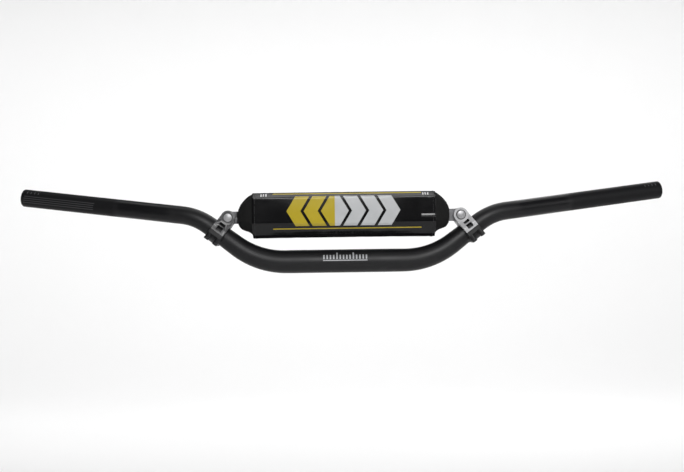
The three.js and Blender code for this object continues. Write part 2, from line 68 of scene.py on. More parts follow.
CLAMP_STATION = 166.0
CLAMP_HALF_WIDTH = 8.7
PIVOT_HEIGHT = 22.1
ARM_HALF_DEPTH = 13.2
FOOT_HALF_DEPTH = 18.5
FOOT_HEIGHT = 6.0
SHOULDER_HEIGHT = 16.0
SPLIT_GAP = 0.15
BOSS_RISE = 1.0
WINDOW_HALF_WIDTH = 3.9
WINDOWS = ((2.3, 8.3), (9.7, 12.9))
POST_RADIUS = 3.3
POST_LENGTH = 11.2
SCREW_ALONG = 6.2
SCREW_ACROSS = 14.8
SCREW_RADIUS = 1.75
SCREW_HEAD = (3.2, 3.0)  # radius and length
PIN_RADIUS = 3.5
PIN_HEAD = (5.9, 2.4)
WASHER_RADIUS = 6.2
NUT_ACROSS_FLATS = 10.0
NUT_LENGTH = 5.0

CROSSBAR_RADIUS = 9.5
CROSSBAR_BORE = 7.0
ROD_RADIUS = 6.6
ROD_BORE = 4.0
TONGUE_HALF_HEIGHT = 7.5
TONGUE_HALF_DEPTH = 5.6
EYE_RADIUS = 7.5
EYE_ROOM = 7.9
TONGUE_ROOM = 8.2
FLEX = (1.0, -0.5)  # how far the right eye moves out and down as the bar flexes

PAD_OFFSET = -0.9
COVER_HALF_LENGTH = 111.3
FOAM_HALF_LENGTH = 129.2
COVER_THICKNESS = 1.2
CHANNEL_HALF_HEIGHT = 9.9
POCKET_HALF_HEIGHT = 13.4
POCKET = (-6.0, 24.0)
FLAP_HALF_LENGTH = 100.0

pivot = frame["record"]["behaviour"]["joints"][0]["pos_m"]
PIVOT_X = -pivot[0] / MM
AXIS_Z = pivot[2] / MM

# ---------- mesh helpers ----------


def make_object(name, points, faces):
    mesh = bpy.data.meshes.new(name)
    mesh.from_pydata([Vector(p) * MM for p in points], [], faces)
    mesh.validate()
    obj = bpy.data.objects.new(name, mesh)
    bpy.context.collection.objects.link(obj)
    work = bmesh.new()
    work.from_mesh(mesh)
    bmesh.ops.recalc_face_normals(work, faces=work.faces)
    work.to_mesh(mesh)
    work.free()
    mesh.shade_smooth()
    return obj


def rounded(points, radius, steps=4, closed=True):
    """A polyline with its corners turned into arcs; radius may be one number or one per point."""
    count = len(points)
    radii = radius if hasattr(radius, "__len__") else [radius] * count
    result = []
    for index, point in enumerate(points):
        corner = Vector(point)
        ends = not closed and index in (0, count - 1)
        if ends or radii[index] <= 0:
            result.append(tuple(corner))
            continue
        before = Vector(points[index - 1]) - corner
        after = Vector(points[(index + 1) % count]) - corner
        angle = before.angle(after)
        if angle > math.pi - 0.02:
            result.append(tuple(corner))
            continue
        reach = radii[index] / math.tan(angle / 2)
        reach = min(reach, 0.49 * before.length, 0.49 * after.length)
        first = corner + before.normalized() * reach
        last = corner + after.normalized() * reach
        for step in range(steps + 1):
            t = step / steps
            blend = first * (1 - t) ** 2 + corner * (2 * t * (1 - t)) + last * t**2
            result.append(tuple(blend))
    return result


def resampled(points, spacing, closed=True):
    """The same polyline with extra points, so that no step is longer than spacing."""
    result = []
    count = len(points)
    for index in range(count if closed else count - 1):
        start = Vector(points[index])
        end = Vector(points[(index + 1) % count])
        steps = max(1, math.ceil((end - start).length / spacing))
        result += [tuple(start.lerp(end, step / steps)) for step in range(steps)]
    if not closed:
        result.append(tuple(points[-1]))
    return result


def skin(name, rings, closed=False):
    """Quads between rings of equal length; closed joins the last ring to the first."""
    size = len(rings[0])
    points = [point for ring in rings for point in ring]
    faces = []
    for index in range(len(rings) if closed else len(rings) - 1):
        low = index * size
        high = ((index + 1) % len(rings)) * size
        for k in range(size):
            after = (k + 1) % size
            faces.append((low + k, low + after, high + after, high + k))
    if not closed:
        faces.append(tuple(range(size)))
        faces.append(tuple(reversed(range(len(points) - size, len(points)))))
    return make_object(name, points, faces)


# Each turns (across, across, along) points so that along lies on that axis.
AXES = {
    "x": Matrix(((0, 0, 1), (1, 0, 0), (0, 1, 0))),
    "y": Matrix(((1, 0, 0), (0, 0, 1), (0, 1, 0))),
    "z": Matrix.Identity(3),
}


def turned(name, axis, profile, centre, segments=64, hollow=False, relief=None):
    """A turned piece from (along, radius) points; relief(angle, along, radius) changes a radius."""
    points = []
    rings = []
    for along, radius in profile:
        if radius < 1e-6:
            rings.append([len(points)])
            points.append(Vector((0, 0, along)))
            continue
        ring = []
        for k in range(segments):
            angle = 2 * math.pi * k / segments
            r = relief(angle, along, radius) if relief else radius
            ring.append(len(points))
            points.append(Vector((r * math.cos(angle), r * math.sin(angle), along)))
        rings.append(ring)
    faces = []
    pairs = list(zip(rings, rings[1:]))
    if hollow:
        pairs.append((rings[-1], rings[0]))
    for low, high in pairs:
        for k in range(segments):
            after = (k + 1) % segments
            quad = (low[k % len(low)], low[after % len(low)], high[after % len(high)], high[k % len(high)])
            face = tuple(dict.fromkeys(quad))
            if len(face) > 2:
                faces.append(face)
    turn = AXES[axis]
    origin = Vector(centre)
    return make_object(name, [turn @ p + origin for p in points], faces)


def sharpen(obj, angle):
    obj.data.set_sharp_from_angle(angle=math.radians(angle))
    return obj


def prism(name, axis, outline, low, high, centre=(0, 0, 0)):
    """A straight prism: the outline is (y, z) along x, (x, z) along y and (x, y) along z."""
    turn = AXES[axis]
    origin = Vector(centre)
    return skin(name, [[turn @ Vector((*p, w)) + origin for p in outline] for w in (low, high)])


def disc(radius, segments=64, centre=(0, 0)):
    return [
        (centre[0] + radius * math.cos(2 * math.pi * k / segments),
         centre[1] + radius * math.sin(2 * math.pi * k / segments))
        for k in range(segments)
    ]


def box(name, low, high):
    outline = [(low[1], low[2]), (high[1], low[2]), (high[1], high[2]), (low[1], high[2])]
    return prism(name, "x", outline, low[0], high[0])


def bake_modifiers(obj):
    bpy.context.view_layer.update()
    evaluated = obj.evaluated_get(bpy.context.evaluated_depsgraph_get())
    mesh = bpy.data.meshes.new_from_object(evaluated)
    old = obj.data
    obj.modifiers.clear()
    obj.data = mesh
    bpy.data.meshes.remove(old)
    return obj


def carved(base, steps):
    """Applies (operation, tool) booleans in turn and removes the tools."""
    for operation, tool in steps:
        modifier = base.modifiers.new(operation, "BOOLEAN")
        modifier.operation = operation
        modifier.solver = "EXACT"
        modifier.object = tool
    bake_modifiers(base)
    for _, tool in steps:
        bpy.data.objects.remove(tool)
    return base


def eased(obj, width, angle=35, segments=2):
    """Bevels the sharp edges by a width in millimetres and shades the piece smooth between them."""
    bevel = obj.modifiers.new("bevel", "BEVEL")
    bevel.width = width * MM
    bevel.segments = segments
    bevel.limit_method = "ANGLE"
    bevel.angle_limit = math.radians(angle)
    bevel.use_clamp_overlap = True
    bevel.miter_outer = "MITER_ARC"
    bake_modifiers(obj)
    obj.data.shade_smooth()
    weighted = obj.modifiers.new("normals", "WEIGHTED_NORMAL")
    weighted.keep_sharp = True
    return bake_modifiers(obj)


def placed(obj, matrix):
    obj.data.transform(matrix)
    if matrix.determinant() < 0:
        obj.data.flip_normals()
    return obj


def finish_piece(obj, material, body, nodes=()):
    obj.data.materials.clear()
    obj.data.materials.append(material)
    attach(obj, body)
    if nodes:
        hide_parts(*nodes)
    return obj


# ---------- the tube's centreline ----------


class Centreline:
    """Line, bend, line, bend, line from the middle to the right grip's end, mirrored to the left."""

    def __init__(self):
        end = Vector((
            BAR_HALF_WIDTH,
            (BAR_HALF_WIDTH - UPPER_CORNER.x) * math.tan(SWEEP),
            BAR_RISE,
        ))
        self.riser = (UPPER_CORNER - LOWER_CORNER).normalized()
        self.grip = (end - UPPER_CORNER).normalized()
        self.pieces = []
        at = Vector((0, 0, 0))
        bends = (
            (LOWER_CORNER, Vector((1, 0, 0)), self.riser, LOWER_BEND_RADIUS),
            (UPPER_CORNER, self.riser, self.grip, UPPER_BEND_RADIUS),
        )
        for corner, before, after, radius in bends:
            turn = before.angle(after)
            start = corner - before * radius * math.tan(turn / 2)
            inward = (after - before * before.dot(after)).normalized()
            self.pieces.append(((start - at).length, self.line(at, before)))
            self.pieces.append((radius * turn, self.bend(start, before, inward, radius)))
            at = corner + after * radius * math.tan(turn / 2)
        self.pieces.append(((end - at).length, self.line(at, self.grip)))
        self.half_length = sum(length for length, _ in self.pieces)

    @staticmethod
    def line(start, direction):
        return lambda s: (start + direction * s, direction)

    @staticmethod
    def bend(start, before, inward, radius):
        centre = start + inward * radius

        def at(s):
            angle = s / radius
            place = centre + (before * math.sin(angle) - inward * math.cos(angle)) * radius
            return place, before * math.cos(angle) + inward * math.sin(angle)

        return at

    def frame(self, station):
        """Place, along, side (to the front) and up at a signed arc length."""
        rest = min(abs(station), self.half_length)
        for length, at in self.pieces:
            if rest <= length:
                break
            rest -= length
        place, along = at(min(rest, length))
        if station < 0:
            place = Vector((-place.x, place.y, place.z))
            along = Vector((along.x, -along.y, -along.z))
        side = along.cross(Vector((0, 0, 1))).normalized()
        return place, along, side, side.cross(along)


centreline = Centreline()


def bar_radius(station):
    t = (abs(station) - TAPER[0]) / (TAPER[1] - TAPER[0])
    t = min(max(t, 0.0), 1.0)
    return STEM_RADIUS + (GRIP_RADIUS - STEM_RADIUS) * t * t * (3 - 2 * t)


def bar_ring(station, radius, segments):
    place, _, side, up = centreline.frame(station)
    ring = []
    for k in range(segments):
        angle = 2 * math.pi * k / segments
        ring.append(place + side * (radius * math.cos(angle)) + up * (radius * math.sin(angle)))
    return ring


def stations(spacing):
    end = centreline.half_length
    steps = 2 * math.ceil(end / spacing)
    return [-end + 2 * end * k / steps for k in range(steps + 1)]


def bar_envelope(growth, low, high):
    """A solid stretch of the tube's outside, grown, for cutting the clamps' seats."""
    steps = 24
    cuts = [low + (high - low) * k / steps for k in range(steps + 1)]
    return skin("seat", [bar_ring(s, bar_radius(s) + growth, 96) for s in cuts])


# ---------- shader helpers ----------


class Shader:
    """A Principled material with short calls for the nodes that shape it."""

    def __init__(self, name, colour, roughness, metallic=0.0):
        self.material = bpy.data.materials.new(name)
        self.material.use_nodes = True
        self.nodes = self.material.node_tree.nodes
        self.links = self.material.node_tree.links
        self.principled = self.nodes["Principled BSDF"]
        self.set("Base Color", (*colour, 1))
        self.set("Roughness", roughness)
        self.set("Metallic", metallic)
        self.height = None

    def set(self, socket, value):
        self.principled.inputs[socket].default_value = value

    def feed(self, socket, value):
        self.links.new(value, self.principled.inputs[socket])

    def node(self, kind, inputs=None, **settings):
        node = self.nodes.new(kind)
        for key, value in settings.items():
            setattr(node, key, value)
        for key, value in (inputs or {}).items():
            if isinstance(value, bpy.types.NodeSocket):
                self.links.new(value, node.inputs[key])
            else:
                node.inputs[key].default_value = value
        return node

    def place(self):
        return self.node("ShaderNodeTexCoord").outputs["Object"]

    def attribute(self, name, output="Vector"):
        return self.node("ShaderNodeAttribute", attribute_name=name).outputs[output]

    def split(self, vector):
        node = self.node("ShaderNodeSeparateXYZ", {0: vector})
        return node.outputs["X"], node.outputs["Y"], node.outputs["Z"]

    def math(self, operation, *values):
        return self.node("ShaderNodeMath", dict(enumerate(values)), operation=operation).outputs[0]

    def plus(self, first, second):
        return self.math("ADD", first, second)

    def less(self, first, second):
        return self.math("SUBTRACT", first, second)

    def far(self, value):
        return self.math("ABSOLUTE", value)

    def zigzag(self, value, half_pitch):
        """Runs from 0 to half_pitch and back along the value."""
        return self.math("PINGPONG", value, half_pitch)

    def noise(self, scale, detail=3.0, vector=None):
        inputs = {"Vector": vector or self.place(), "Scale": scale, "Detail": detail, "Roughness": 0.5}
        return self.node("ShaderNodeTexNoise", inputs).outputs["Fac"]

    def tool_lines(self):
        """Noise drawn out along x, like the marks of a cutter."""
        stretched = self.node("ShaderNodeMapping", {"Vector": self.place(), "Scale": (1.0, 9.0, 9.0)})
        return self.noise(260, 3, stretched.outputs[0])

    def cells(self, scale, feature="F1"):
        inputs = {"Vector": self.place(), "Scale": scale}
        return self.node("ShaderNodeTexVoronoi", inputs, feature=feature).outputs["Distance"]

    def remap(self, value, low, high, to_low=0.0, to_high=1.0):
        inputs = {"Value": value, "From Min": low, "From Max": high, "To Min": to_low, "To Max": to_high}
        return self.node("ShaderNodeMapRange", inputs).outputs[0]

    def colours(self, factor, first, second):
        node = self.node("ShaderNodeMix", data_type="RGBA")
        for socket, value in ((node.inputs[0], factor), (node.inputs[6], first), (node.inputs[7], second)):
            if isinstance(value, bpy.types.NodeSocket):
                self.links.new(value, socket)
            elif isinstance(value, tuple):
                socket.default_value = (*value, 1)
            else:
                socket.default_value = value
        return node.outputs[2]

    def within(self, value, low, high, soft):
        """1 between low and high, falling to 0 over soft at each end."""
        rise = self.remap(value, low - soft, low + soft)
        return self.times(rise, self.remap(value, high - soft, high + soft, 1.0, 0.0))

    def times(self, *factors):
        result = factors[0]
        for factor in factors[1:]:
            result = self.math("MULTIPLY", result, factor)
        return result

    def bump(self, height, distance, strength=1.0):
        inputs = {"Height": height, "Distance": distance, "Strength": strength}
        if self.height:
            inputs["Normal"] = self.height
        self.height = self.node("ShaderNodeBump", inputs).outputs[0]
        self.feed("Normal", self.height)

    def edges(self):
        """1 on convex edges, where the finish wears."""
        return self.remap(self.node("ShaderNodeNewGeometry").outputs["Pointiness"], 0.52, 0.60)

    def tint(self, factor, first, second):
        self.feed("Base Color", self.colours(factor, first, second))

    def gloss(self, factor, smooth, rough):
        """Roughness between two values, over the middle of a noise."""
        self.feed("Roughness", self.remap(factor, 0.3, 0.7, smooth, rough))


# ---------- materials ----------


def anodised_black(name):
    """Satin black anodising with a fine blasted grain and faint handling marks."""
    shader = Shader(name, (0.008, 0.008, 0.009), 0.46, 0.1)
    cloud = shader.noise(38, 4)
    fine = shader.noise(900, 2)
    shader.tint(cloud, (0.006, 0.006, 0.007), (0.010, 0.010, 0.011))
    shader.gloss(cloud, 0.43, 0.50)
    shader.set("Specular IOR Level", 0.38)
    shader.bump(fine, 0.00002, 0.35)
    return shader


def tube_finish():
    shader = anodised_black("tube_anodised")
    station, height, depth = shader.split(shader.attribute("bar_place"))
    front = shader.remap(depth, 0.001, 0.003)
    marks = [centre_scale(shader, station, height), grip_lines(shader, station, height)]
    marks.append(end_ticks(shader, station, height))
    ink = marks[0]
    for mark in marks[1:]:
        ink = shader.math("MAXIMUM", ink, mark)
    ink = shader.times(ink, front)
    far = shader.far(station)
    grip = shader.remap(far, 0.300, 0.306)
    gloss = shader.within(far, 0.232, 0.298, 0.004)
    cloud = shader.noise(38, 4)
    base = shader.colours(cloud, (0.006, 0.006, 0.007), (0.010, 0.010, 0.011))
    base = shader.colours(grip, base, (0.007, 0.007, 0.008))
    base = shader.colours(gloss, base, (0.005, 0.005, 0.006))
    shader.tint(ink, base, (0.50, 0.51, 0.53))
    rough = shader.remap(cloud, 0.3, 0.7, 0.43, 0.50)
    rough = shader.plus(rough, shader.times(grip, 0.05))
    rough = shader.less(rough, shader.times(gloss, 0.14))
    shader.feed("Roughness", rough)
    shader.feed("Specular IOR Level", shader.remap(grip, 0.0, 1.0, 0.38, 0.24))
    blast = shader.noise(1400, 2)
    shader.bump(shader.times(blast, grip), 0.00005, 0.5)
    return shader.material


def centre_scale(shader, station, height):
    """A plain alignment scale on the stem section: ticks every 4 mm over a base line."""
    width = shader.within(station, -0.0270, 0.0272, 0.0002)
    pitch = shader.zigzag(shader.plus(station, 0.1), 0.002)
    tick = shader.remap(pitch, 0.0010, 0.0012)
    long_pitch = shader.zigzag(shader.plus(station, 0.1), 0.010)
    long_tick = shader.remap(long_pitch, 0.0080, 0.0082)
    top = shader.plus(shader.times(long_tick, 0.0026), 0.0080)
    under = shader.remap(shader.less(top, height), 0.0, 0.0003)
    above = shader.remap(height, 0.0026, 0.0029)
    ticks = shader.times(tick, under, above)
    line = shader.within(height, 0.0006, 0.0018, 0.00015)
    ink = shader.times(shader.math("MAXIMUM", ticks, line), width)
    return shader.times(ink, 0.75)


def grip_lines(shader, station, height):
    """Rows of fine printed lines on the left grip, fainter than the scale and ragged at the ends."""
    row_at = shader.math("SNAP", shader.plus(height, 0.1), 0.0026)
    shift = shader.times(shader.math("SINE", shader.times(row_at, 2500.0)), 0.009)
    width = shader.within(shader.plus(station, shift), -0.418, -0.322, 0.0006)
    rows = shader.zigzag(shader.plus(height, 0.1), 0.0013)
    row = shader.remap(rows, 0.00075, 0.00095)
    band = shader.within(height, -0.0062, 0.0042, 0.0002)
    return shader.times(shader.times(width, row, band), 0.10)


def end_ticks(shader, station, height):
    """Cut-length ticks near the top of both ends, 5 mm apart."""
    far = shader.far(station)
    width = shader.within(far, 0.4065, 0.4265, 0.0004)
    pitch = shader.zigzag(shader.plus(far, 0.1), 0.0025)
    tick = shader.remap(pitch, 0.0020, 0.0022)
    band = shader.within(height, 0.0062, 0.0086, 0.0002)
    return shader.times(shader.times(width, tick, band), 0.25)


def machined(name, colour, roughness, metallic=1.0, wear=None):
    """Tumbled or turned aluminium: fine tool lines, a mottled polish and painted shade at the bottom of the
    clamp windows.
    """
    shader = Shader(name, colour, roughness, metallic)
    cloud = shader.noise(120, 4)
    darker = tuple(0.82 * value for value in colour)
    base = shader.colours(cloud, darker, colour)
    if wear:
        base = shader.colours(shader.edges(), base, wear)
    # painted shade: points marked at the window bottoms are tinted near black
    shader.tint(shader.attribute("window_shade", "Fac"), base, (0.008, 0.008, 0.009))
    lines = shader.tool_lines()
    shader.gloss(lines, roughness - 0.06, roughness + 0.08)
    shader.bump(lines, 0.00002, 0.2)
    return shader.material


def eye_finish(name):
    """Black anodised end with a machined, slightly worn tongue beyond the pad."""
    shader = Shader(name, (0.30, 0.30, 0.31), 0.40, 0.5)
    x, _, _ = shader.split(shader.place())
    along = shader.far(shader.plus(x, 0.0025))
    bare = shader.remap(along, 0.1298, 0.1303)
    cloud = shader.noise(140, 4)
    metal = shader.colours(cloud, (0.10, 0.10, 0.105), (0.21, 0.21, 0.22))
    shader.tint(bare, (0.012, 0.012, 0.013), metal)
    shader.gloss(cloud, 0.28, 0.42)
    shader.bump(shader.tool_lines(), 0.00002, 0.25)
    return shader.material


def cast_black(name):
    """Matte black anodised casting with a light grain and grey worn edges."""
    shader = Shader(name, (0.008, 0.008, 0.009), 0.5, 0.0)
    shader.set("Specular IOR Level", 0.3)
    grain = shader.noise(700, 3)
    base = shader.colours(shader.noise(90, 3), (0.006, 0.006, 0.007), (0.011, 0.011, 0.012))
    shader.tint(shader.times(shader.edges(), 0.5), base, (0.06, 0.06, 0.06))
    shader.gloss(grain, 0.44, 0.60)
    shader.bump(grain, 0.00003, 0.4)
    return shader.material


def turned_steel(name, colour, axis):
    """Bright steel with the rings a lathe leaves on its faces; beyond about 5 mm from the axis a painted
    shadow ring darkens it.
    """
    shader = Shader(name, colour, 0.3, 0.35)
    x, y, z = shader.split(shader.place())
    across = {"y": (x, z), "x": (y, z)}[axis]
    side = PIVOT_X * MM if axis == "y" else 0.0
    first = shader.less(shader.far(across[0]), side)
    second = shader.less(across[1], AXIS_Z * MM)
    squares = [shader.math("POWER", value, 2.0) for value in (first, second)]
    radius = shader.math("SQRT", shader.plus(*squares))
    rings = shader.math("SINE", shader.times(radius, 20000.0))
    base = shader.colours(shader.noise(300, 2), tuple(0.8 * c for c in colour), colour)
    # painted shadow: a dark ring around the head's edge and everything further out
    shadow_ring = shader.remap(radius, 0.0048, 0.0053)
    shader.tint(shadow_ring, base, tuple(0.14 * c for c in colour))
    shader.gloss(shader.noise(200, 3), 0.30, 0.44)
    shader.bump(rings, 0.00001, 0.35)
    return shader.material


def black_oxide(name):
    shader = Shader(name, (0.03, 0.03, 0.032), 0.42, 0.8)
    mottled = shader.noise(240, 3)
    base = shader.colours(mottled, (0.020, 0.020, 0.022), (0.045, 0.045, 0.048))
    shader.tint(shader.times(shader.edges(), 0.6), base, (0.16, 0.16, 0.16))
    shader.gloss(mottled, 0.36, 0.55)
    shader.bump(shader.noise(900, 2), 0.00002, 0.3)
    return shader.material


def polymer(name):
    shader = Shader(name, (0.62, 0.60, 0.53), 0.5)
    cloud = shader.noise(160, 3)
    shader.tint(cloud, (0.55, 0.53, 0.46), (0.66, 0.64, 0.57))
    shader.gloss(cloud, 0.42, 0.58)
    shader.bump(shader.noise(1200, 2), 0.00002, 0.3)
    shader.set("Subsurface Weight", 0.05)
    return shader.material


def foam(name):
    """Matte closed-cell foam: open pores from the cut, darkened inside as painted shade, and a soft darker
    mottle.
    """
    shader = Shader(name, (0.012, 0.012, 0.012), 0.92)
    pores = shader.cells(1500)
    mottle = shader.noise(60, 4)
    base = shader.colours(mottle, (0.004, 0.004, 0.004), (0.009, 0.009, 0.009))
    # painted shade: the pores are tinted darker towards their middles
    pore_shade = shader.remap(pores, 0.0, 0.35, 0.45, 0.0)
    shader.tint(pore_shade, base, (0.002, 0.002, 0.002))
    shader.gloss(mottle, 0.82, 0.96)
    shader.bump(pores, 0.00025, 0.5)
    shader.bump(mottle, 0.0006, 0.35)
    shader.set("Specular IOR Level", 0.3)
    return shader.material


def vinyl_base(name, roughness=0.24):
    """Glossy black coated fabric with a leather-like grain."""
    shader = Shader(name, (0.006, 0.006, 0.007), roughness)
    grain = shader.cells(620, feature="F2")
    weave = shader.noise(1500, 2)
    cloud = shader.noise(30, 4)
    shader.gloss(cloud, roughness - 0.03, roughness + 0.05)
    shader.bump(grain, 0.00006, 0.35)
    shader.bump(weave, 0.00002, 0.25)
    shader.set("Specular IOR Level", 0.4)
    return shader


def plain_vinyl(name):
    shader = vinyl_base(name, 0.34)
    shader.tint(shader.noise(80, 3), (0.006, 0.006, 0.007), (0.013, 0.013, 0.014))
    return shader.material


def printed_vinyl(name):
    """The pad's cover: yellow chevrons to the left and silver ones to the right on black."""
    shader = vinyl_base(name, 0.16)
    x, y, z = shader.split(shader.place())
    front = shader.remap(y, -0.0100, -0.0110)
    away = shader.far(shader.less(z, (AXIS_Z + 6.4) * MM))
    from_split = shader.plus(x, 0.0120)
    left = shader.remap(from_split, -0.0001, 0.0001, 1.0, 0.0)
    outwards = shader.far(from_split)
    reach = shader.plus(outwards, shader.times(away, 0.6))
    pitch = 0.0208
    bar = shader.within(shader.math("MODULO", reach, pitch), -1.0, 0.0168, 0.00012)
    limit = shader.remap(left, 0.0, 1.0, 4 * pitch, 3 * pitch)
    span = shader.remap(shader.less(limit, reach), 0.0, 0.0002)
    tall = shader.within(away, -1.0, 0.0180, 0.00012)
    centred = shader.far(shader.less(x, 0.0030))
    stripe = shader.times(
        shader.within(away, 0.0205, 0.0218, 0.00012),
        shader.within(centred, -1.0, 0.0900, 0.00012),
        front,
    )
    shade = shader.noise(45, 3)
    yellow = shader.colours(shade, (0.41, 0.315, 0.021), (0.49, 0.375, 0.037))
    silver = shader.colours(shade, (0.42, 0.43, 0.44), (0.56, 0.57, 0.58))
    ink = shader.colours(left, silver, yellow)
    chevron = shader.times(front, bar, span, tall)
    base = shader.colours(shader.noise(80, 3), (0.0020, 0.0020, 0.0025), (0.0045, 0.0045, 0.0050))
    base = shader.colours(chevron, base, ink)
    base = shader.colours(stripe, base, yellow)
    base = shader.colours(corner_marks(shader, x, y, z), base, (0.62, 0.62, 0.62))
    shader.feed("Base Color", base)
    crease = shader.times(
        shader.within(x, 0.0925, 0.1110, 0.0004),
        shader.within(z, (AXIS_Z - 1.6) * MM, (AXIS_Z + 0.6) * MM, 0.0010),
        front,
    )
    shader.bump(crease, 0.00045)
    return shader.material


def corner_marks(shader, x, y, z):
    """Three small bars near each end of the top bevel."""
    far = shader.far(x)
    place = shader.within(far, 0.0935, 0.1025, 0.0001)
    pitch = shader.zigzag(shader.less(far, 0.0935), 0.0015)
    bar = shader.remap(pitch, 0.0006, 0.0008)
    height = shader.within(z, (AXIS_Z + 24.6) * MM, (AXIS_Z + 27.8) * MM, 0.0001)
    front = shader.remap(y, -0.0180, -0.0190)
    return shader.times(place, bar, height, front)


def webbing(name, fineness):
    """Hook-and-loop tape: rows of tiny tufts, with painted shade darkening the gaps between them."""
    shader = Shader(name, (0.010, 0.010, 0.011), 0.9)
    tufts = shader.cells(fineness)
    # painted shade: lighter tuft tops, darker between the tufts
    shader.tint(tufts, (0.022, 0.022, 0.023), (0.006, 0.006, 0.006))
    shader.gloss(shader.noise(200, 2), 0.82, 0.97)
    shader.bump(tufts, 0.0004, 0.8)
    shader.set("Sheen Weight", 0.3)
    return shader.material


def thread(name):
    shader = Shader(name, (0.030, 0.030, 0.032), 0.7)
    twist = shader.node("ShaderNodeTexWave", {"Vector": shader.place(), "Scale": 900.0}).outputs["Fac"]
    shader.tint(twist, (0.018, 0.018, 0.019), (0.045, 0.045, 0.047))
    shader.feed("Roughness", shader.remap(twist, 0.0, 1.0, 0.6, 0.8))
    shader.bump(twist, 0.00005, 0.6)
    return shader.material


TUBE = tube_finish()
CROSSBAR_BLACK = anodised_black("crossbar_anodised").material
BRIGHT = machined("clamp_bright", (0.47, 0.47, 0.48), 0.52, 0.30)
GUNMETAL = machined("clamp_gunmetal", (0.055, 0.055, 0.058), 0.45, 0.25, wear=(0.30, 0.30, 0.30))
EYE_SILVER = eye_finish("eye_satin")
ROD_SILVER = machined("rod_polished", (0.72, 0.72, 0.73), 0.20)
CAP_BLACK = cast_black("clamp_cap_black")
PIN_STEEL = turned_steel("pin_steel", (0.40, 0.40, 0.41), "y")
KEY_STEEL = turned_steel("key_steel", (0.70, 0.70, 0.71), "x")
BLACK_STEEL = black_oxide("black_oxide")
POLYMER = polymer("bearing_polymer")
FOAM = foam("pad_foam")
PRINTED = printed_vinyl("printed_vinyl")
VINYL = plain_vinyl("flap_vinyl")
HOOKS = webbing("hook_tape", 1100)
LOOPS = webbing("loop_tape", 700)
THREAD = thread("thread")

# ---------- tube ----------


def make_tube():
    segments = 64
    chamfer = 0.6
    end = centreline.half_length
    rounding = [(0.0, chamfer), (0.35 * chamfer, 0.2), (chamfer, 0.0)]
    left_edge = [(-end + inset, GRIP_RADIUS - drop) for inset, drop in rounding]
    right_edge = [(end - inset, GRIP_RADIUS - drop) for inset, drop in reversed(rounding)]
    middle = [(s, bar_radius(s)) for s in stations(5.4)[1:-1]]
    outer = left_edge + middle + right_edge
    bore_lip = 0.3
    inner = [(s, bar_radius(s) - WALL) for s in reversed(stations(14.0)[1:-1])]
    inner = [
        (end, GRIP_RADIUS - WALL + bore_lip),
        (end - bore_lip, GRIP_RADIUS - WALL),
        *inner,
        (-end + bore_lip, GRIP_RADIUS - WALL),
        (-end, GRIP_RADIUS - WALL + bore_lip),
    ]
    profile = outer + inner
    tube = skin("tube", [bar_ring(s, r, segments) for s, r in profile], closed=True)
    tube.data.attributes.new("bar_place", "FLOAT_VECTOR", "POINT")
    values = []
    for s, r in profile:
        for k in range(segments):
            angle = 2 * math.pi * k / segments
            values += [s * MM, r * MM * math.sin(angle), r * MM * math.cos(angle)]
    tube.data.attributes["bar_place"].data.foreach_set("vector", values)
    sharpen(tube, 30)
    finish_piece(tube, TUBE, "handlebar", ["handlebar_tube"])


# ---------- clamps, drawn in the right clamp's frame: x along the tube, z away from it ----------


def clamp_matrix(side):
    place, along, _, _ = centreline.frame(CLAMP_STATION)
    tilt = math.atan2(along.z, along.x)
    matrix = Matrix.Translation(Vector((place.x, 0, place.z)) * MM) @ Matrix.Rotation(-tilt, 4, "Y")
    if side == "left":
        return Matrix.Scale(-1, 4, (1, 0, 0)) @ matrix
    return matrix


def seat_tool():
    seat = bar_envelope(0.3, CLAMP_STATION - 22, CLAMP_STATION + 22)
    return placed(seat, clamp_matrix("right").inverted())


def screw_places():
    return [(along * SCREW_ALONG, across * SCREW_ACROSS) for across in (-1, 1) for along in (-1, 1)]


def arm_outline():
    radius = CLAMP_HALF_WIDTH
    turns = [math.pi * k / 40 for k in range(41)]
    arc = [(radius * math.cos(turn), PIVOT_HEIGHT + radius * math.sin(turn)) for turn in turns]
    return [(-radius, SPLIT_GAP), (radius, SPLIT_GAP), *arc]


def arm_section():
    top = PIVOT_HEIGHT + CLAMP_HALF_WIDTH + 1
    half = [
        (FOOT_HALF_DEPTH, SPLIT_GAP),
        (FOOT_HALF_DEPTH, FOOT_HEIGHT),
        (ARM_HALF_DEPTH, SHOULDER_HEIGHT),
        (ARM_HALF_DEPTH, top),
    ]
    half = half[:1] + rounded(half, 3.0, 6, closed=False)[1:-1] + half[-1:]
    return half + [(-y, z) for y, z in reversed(half)]


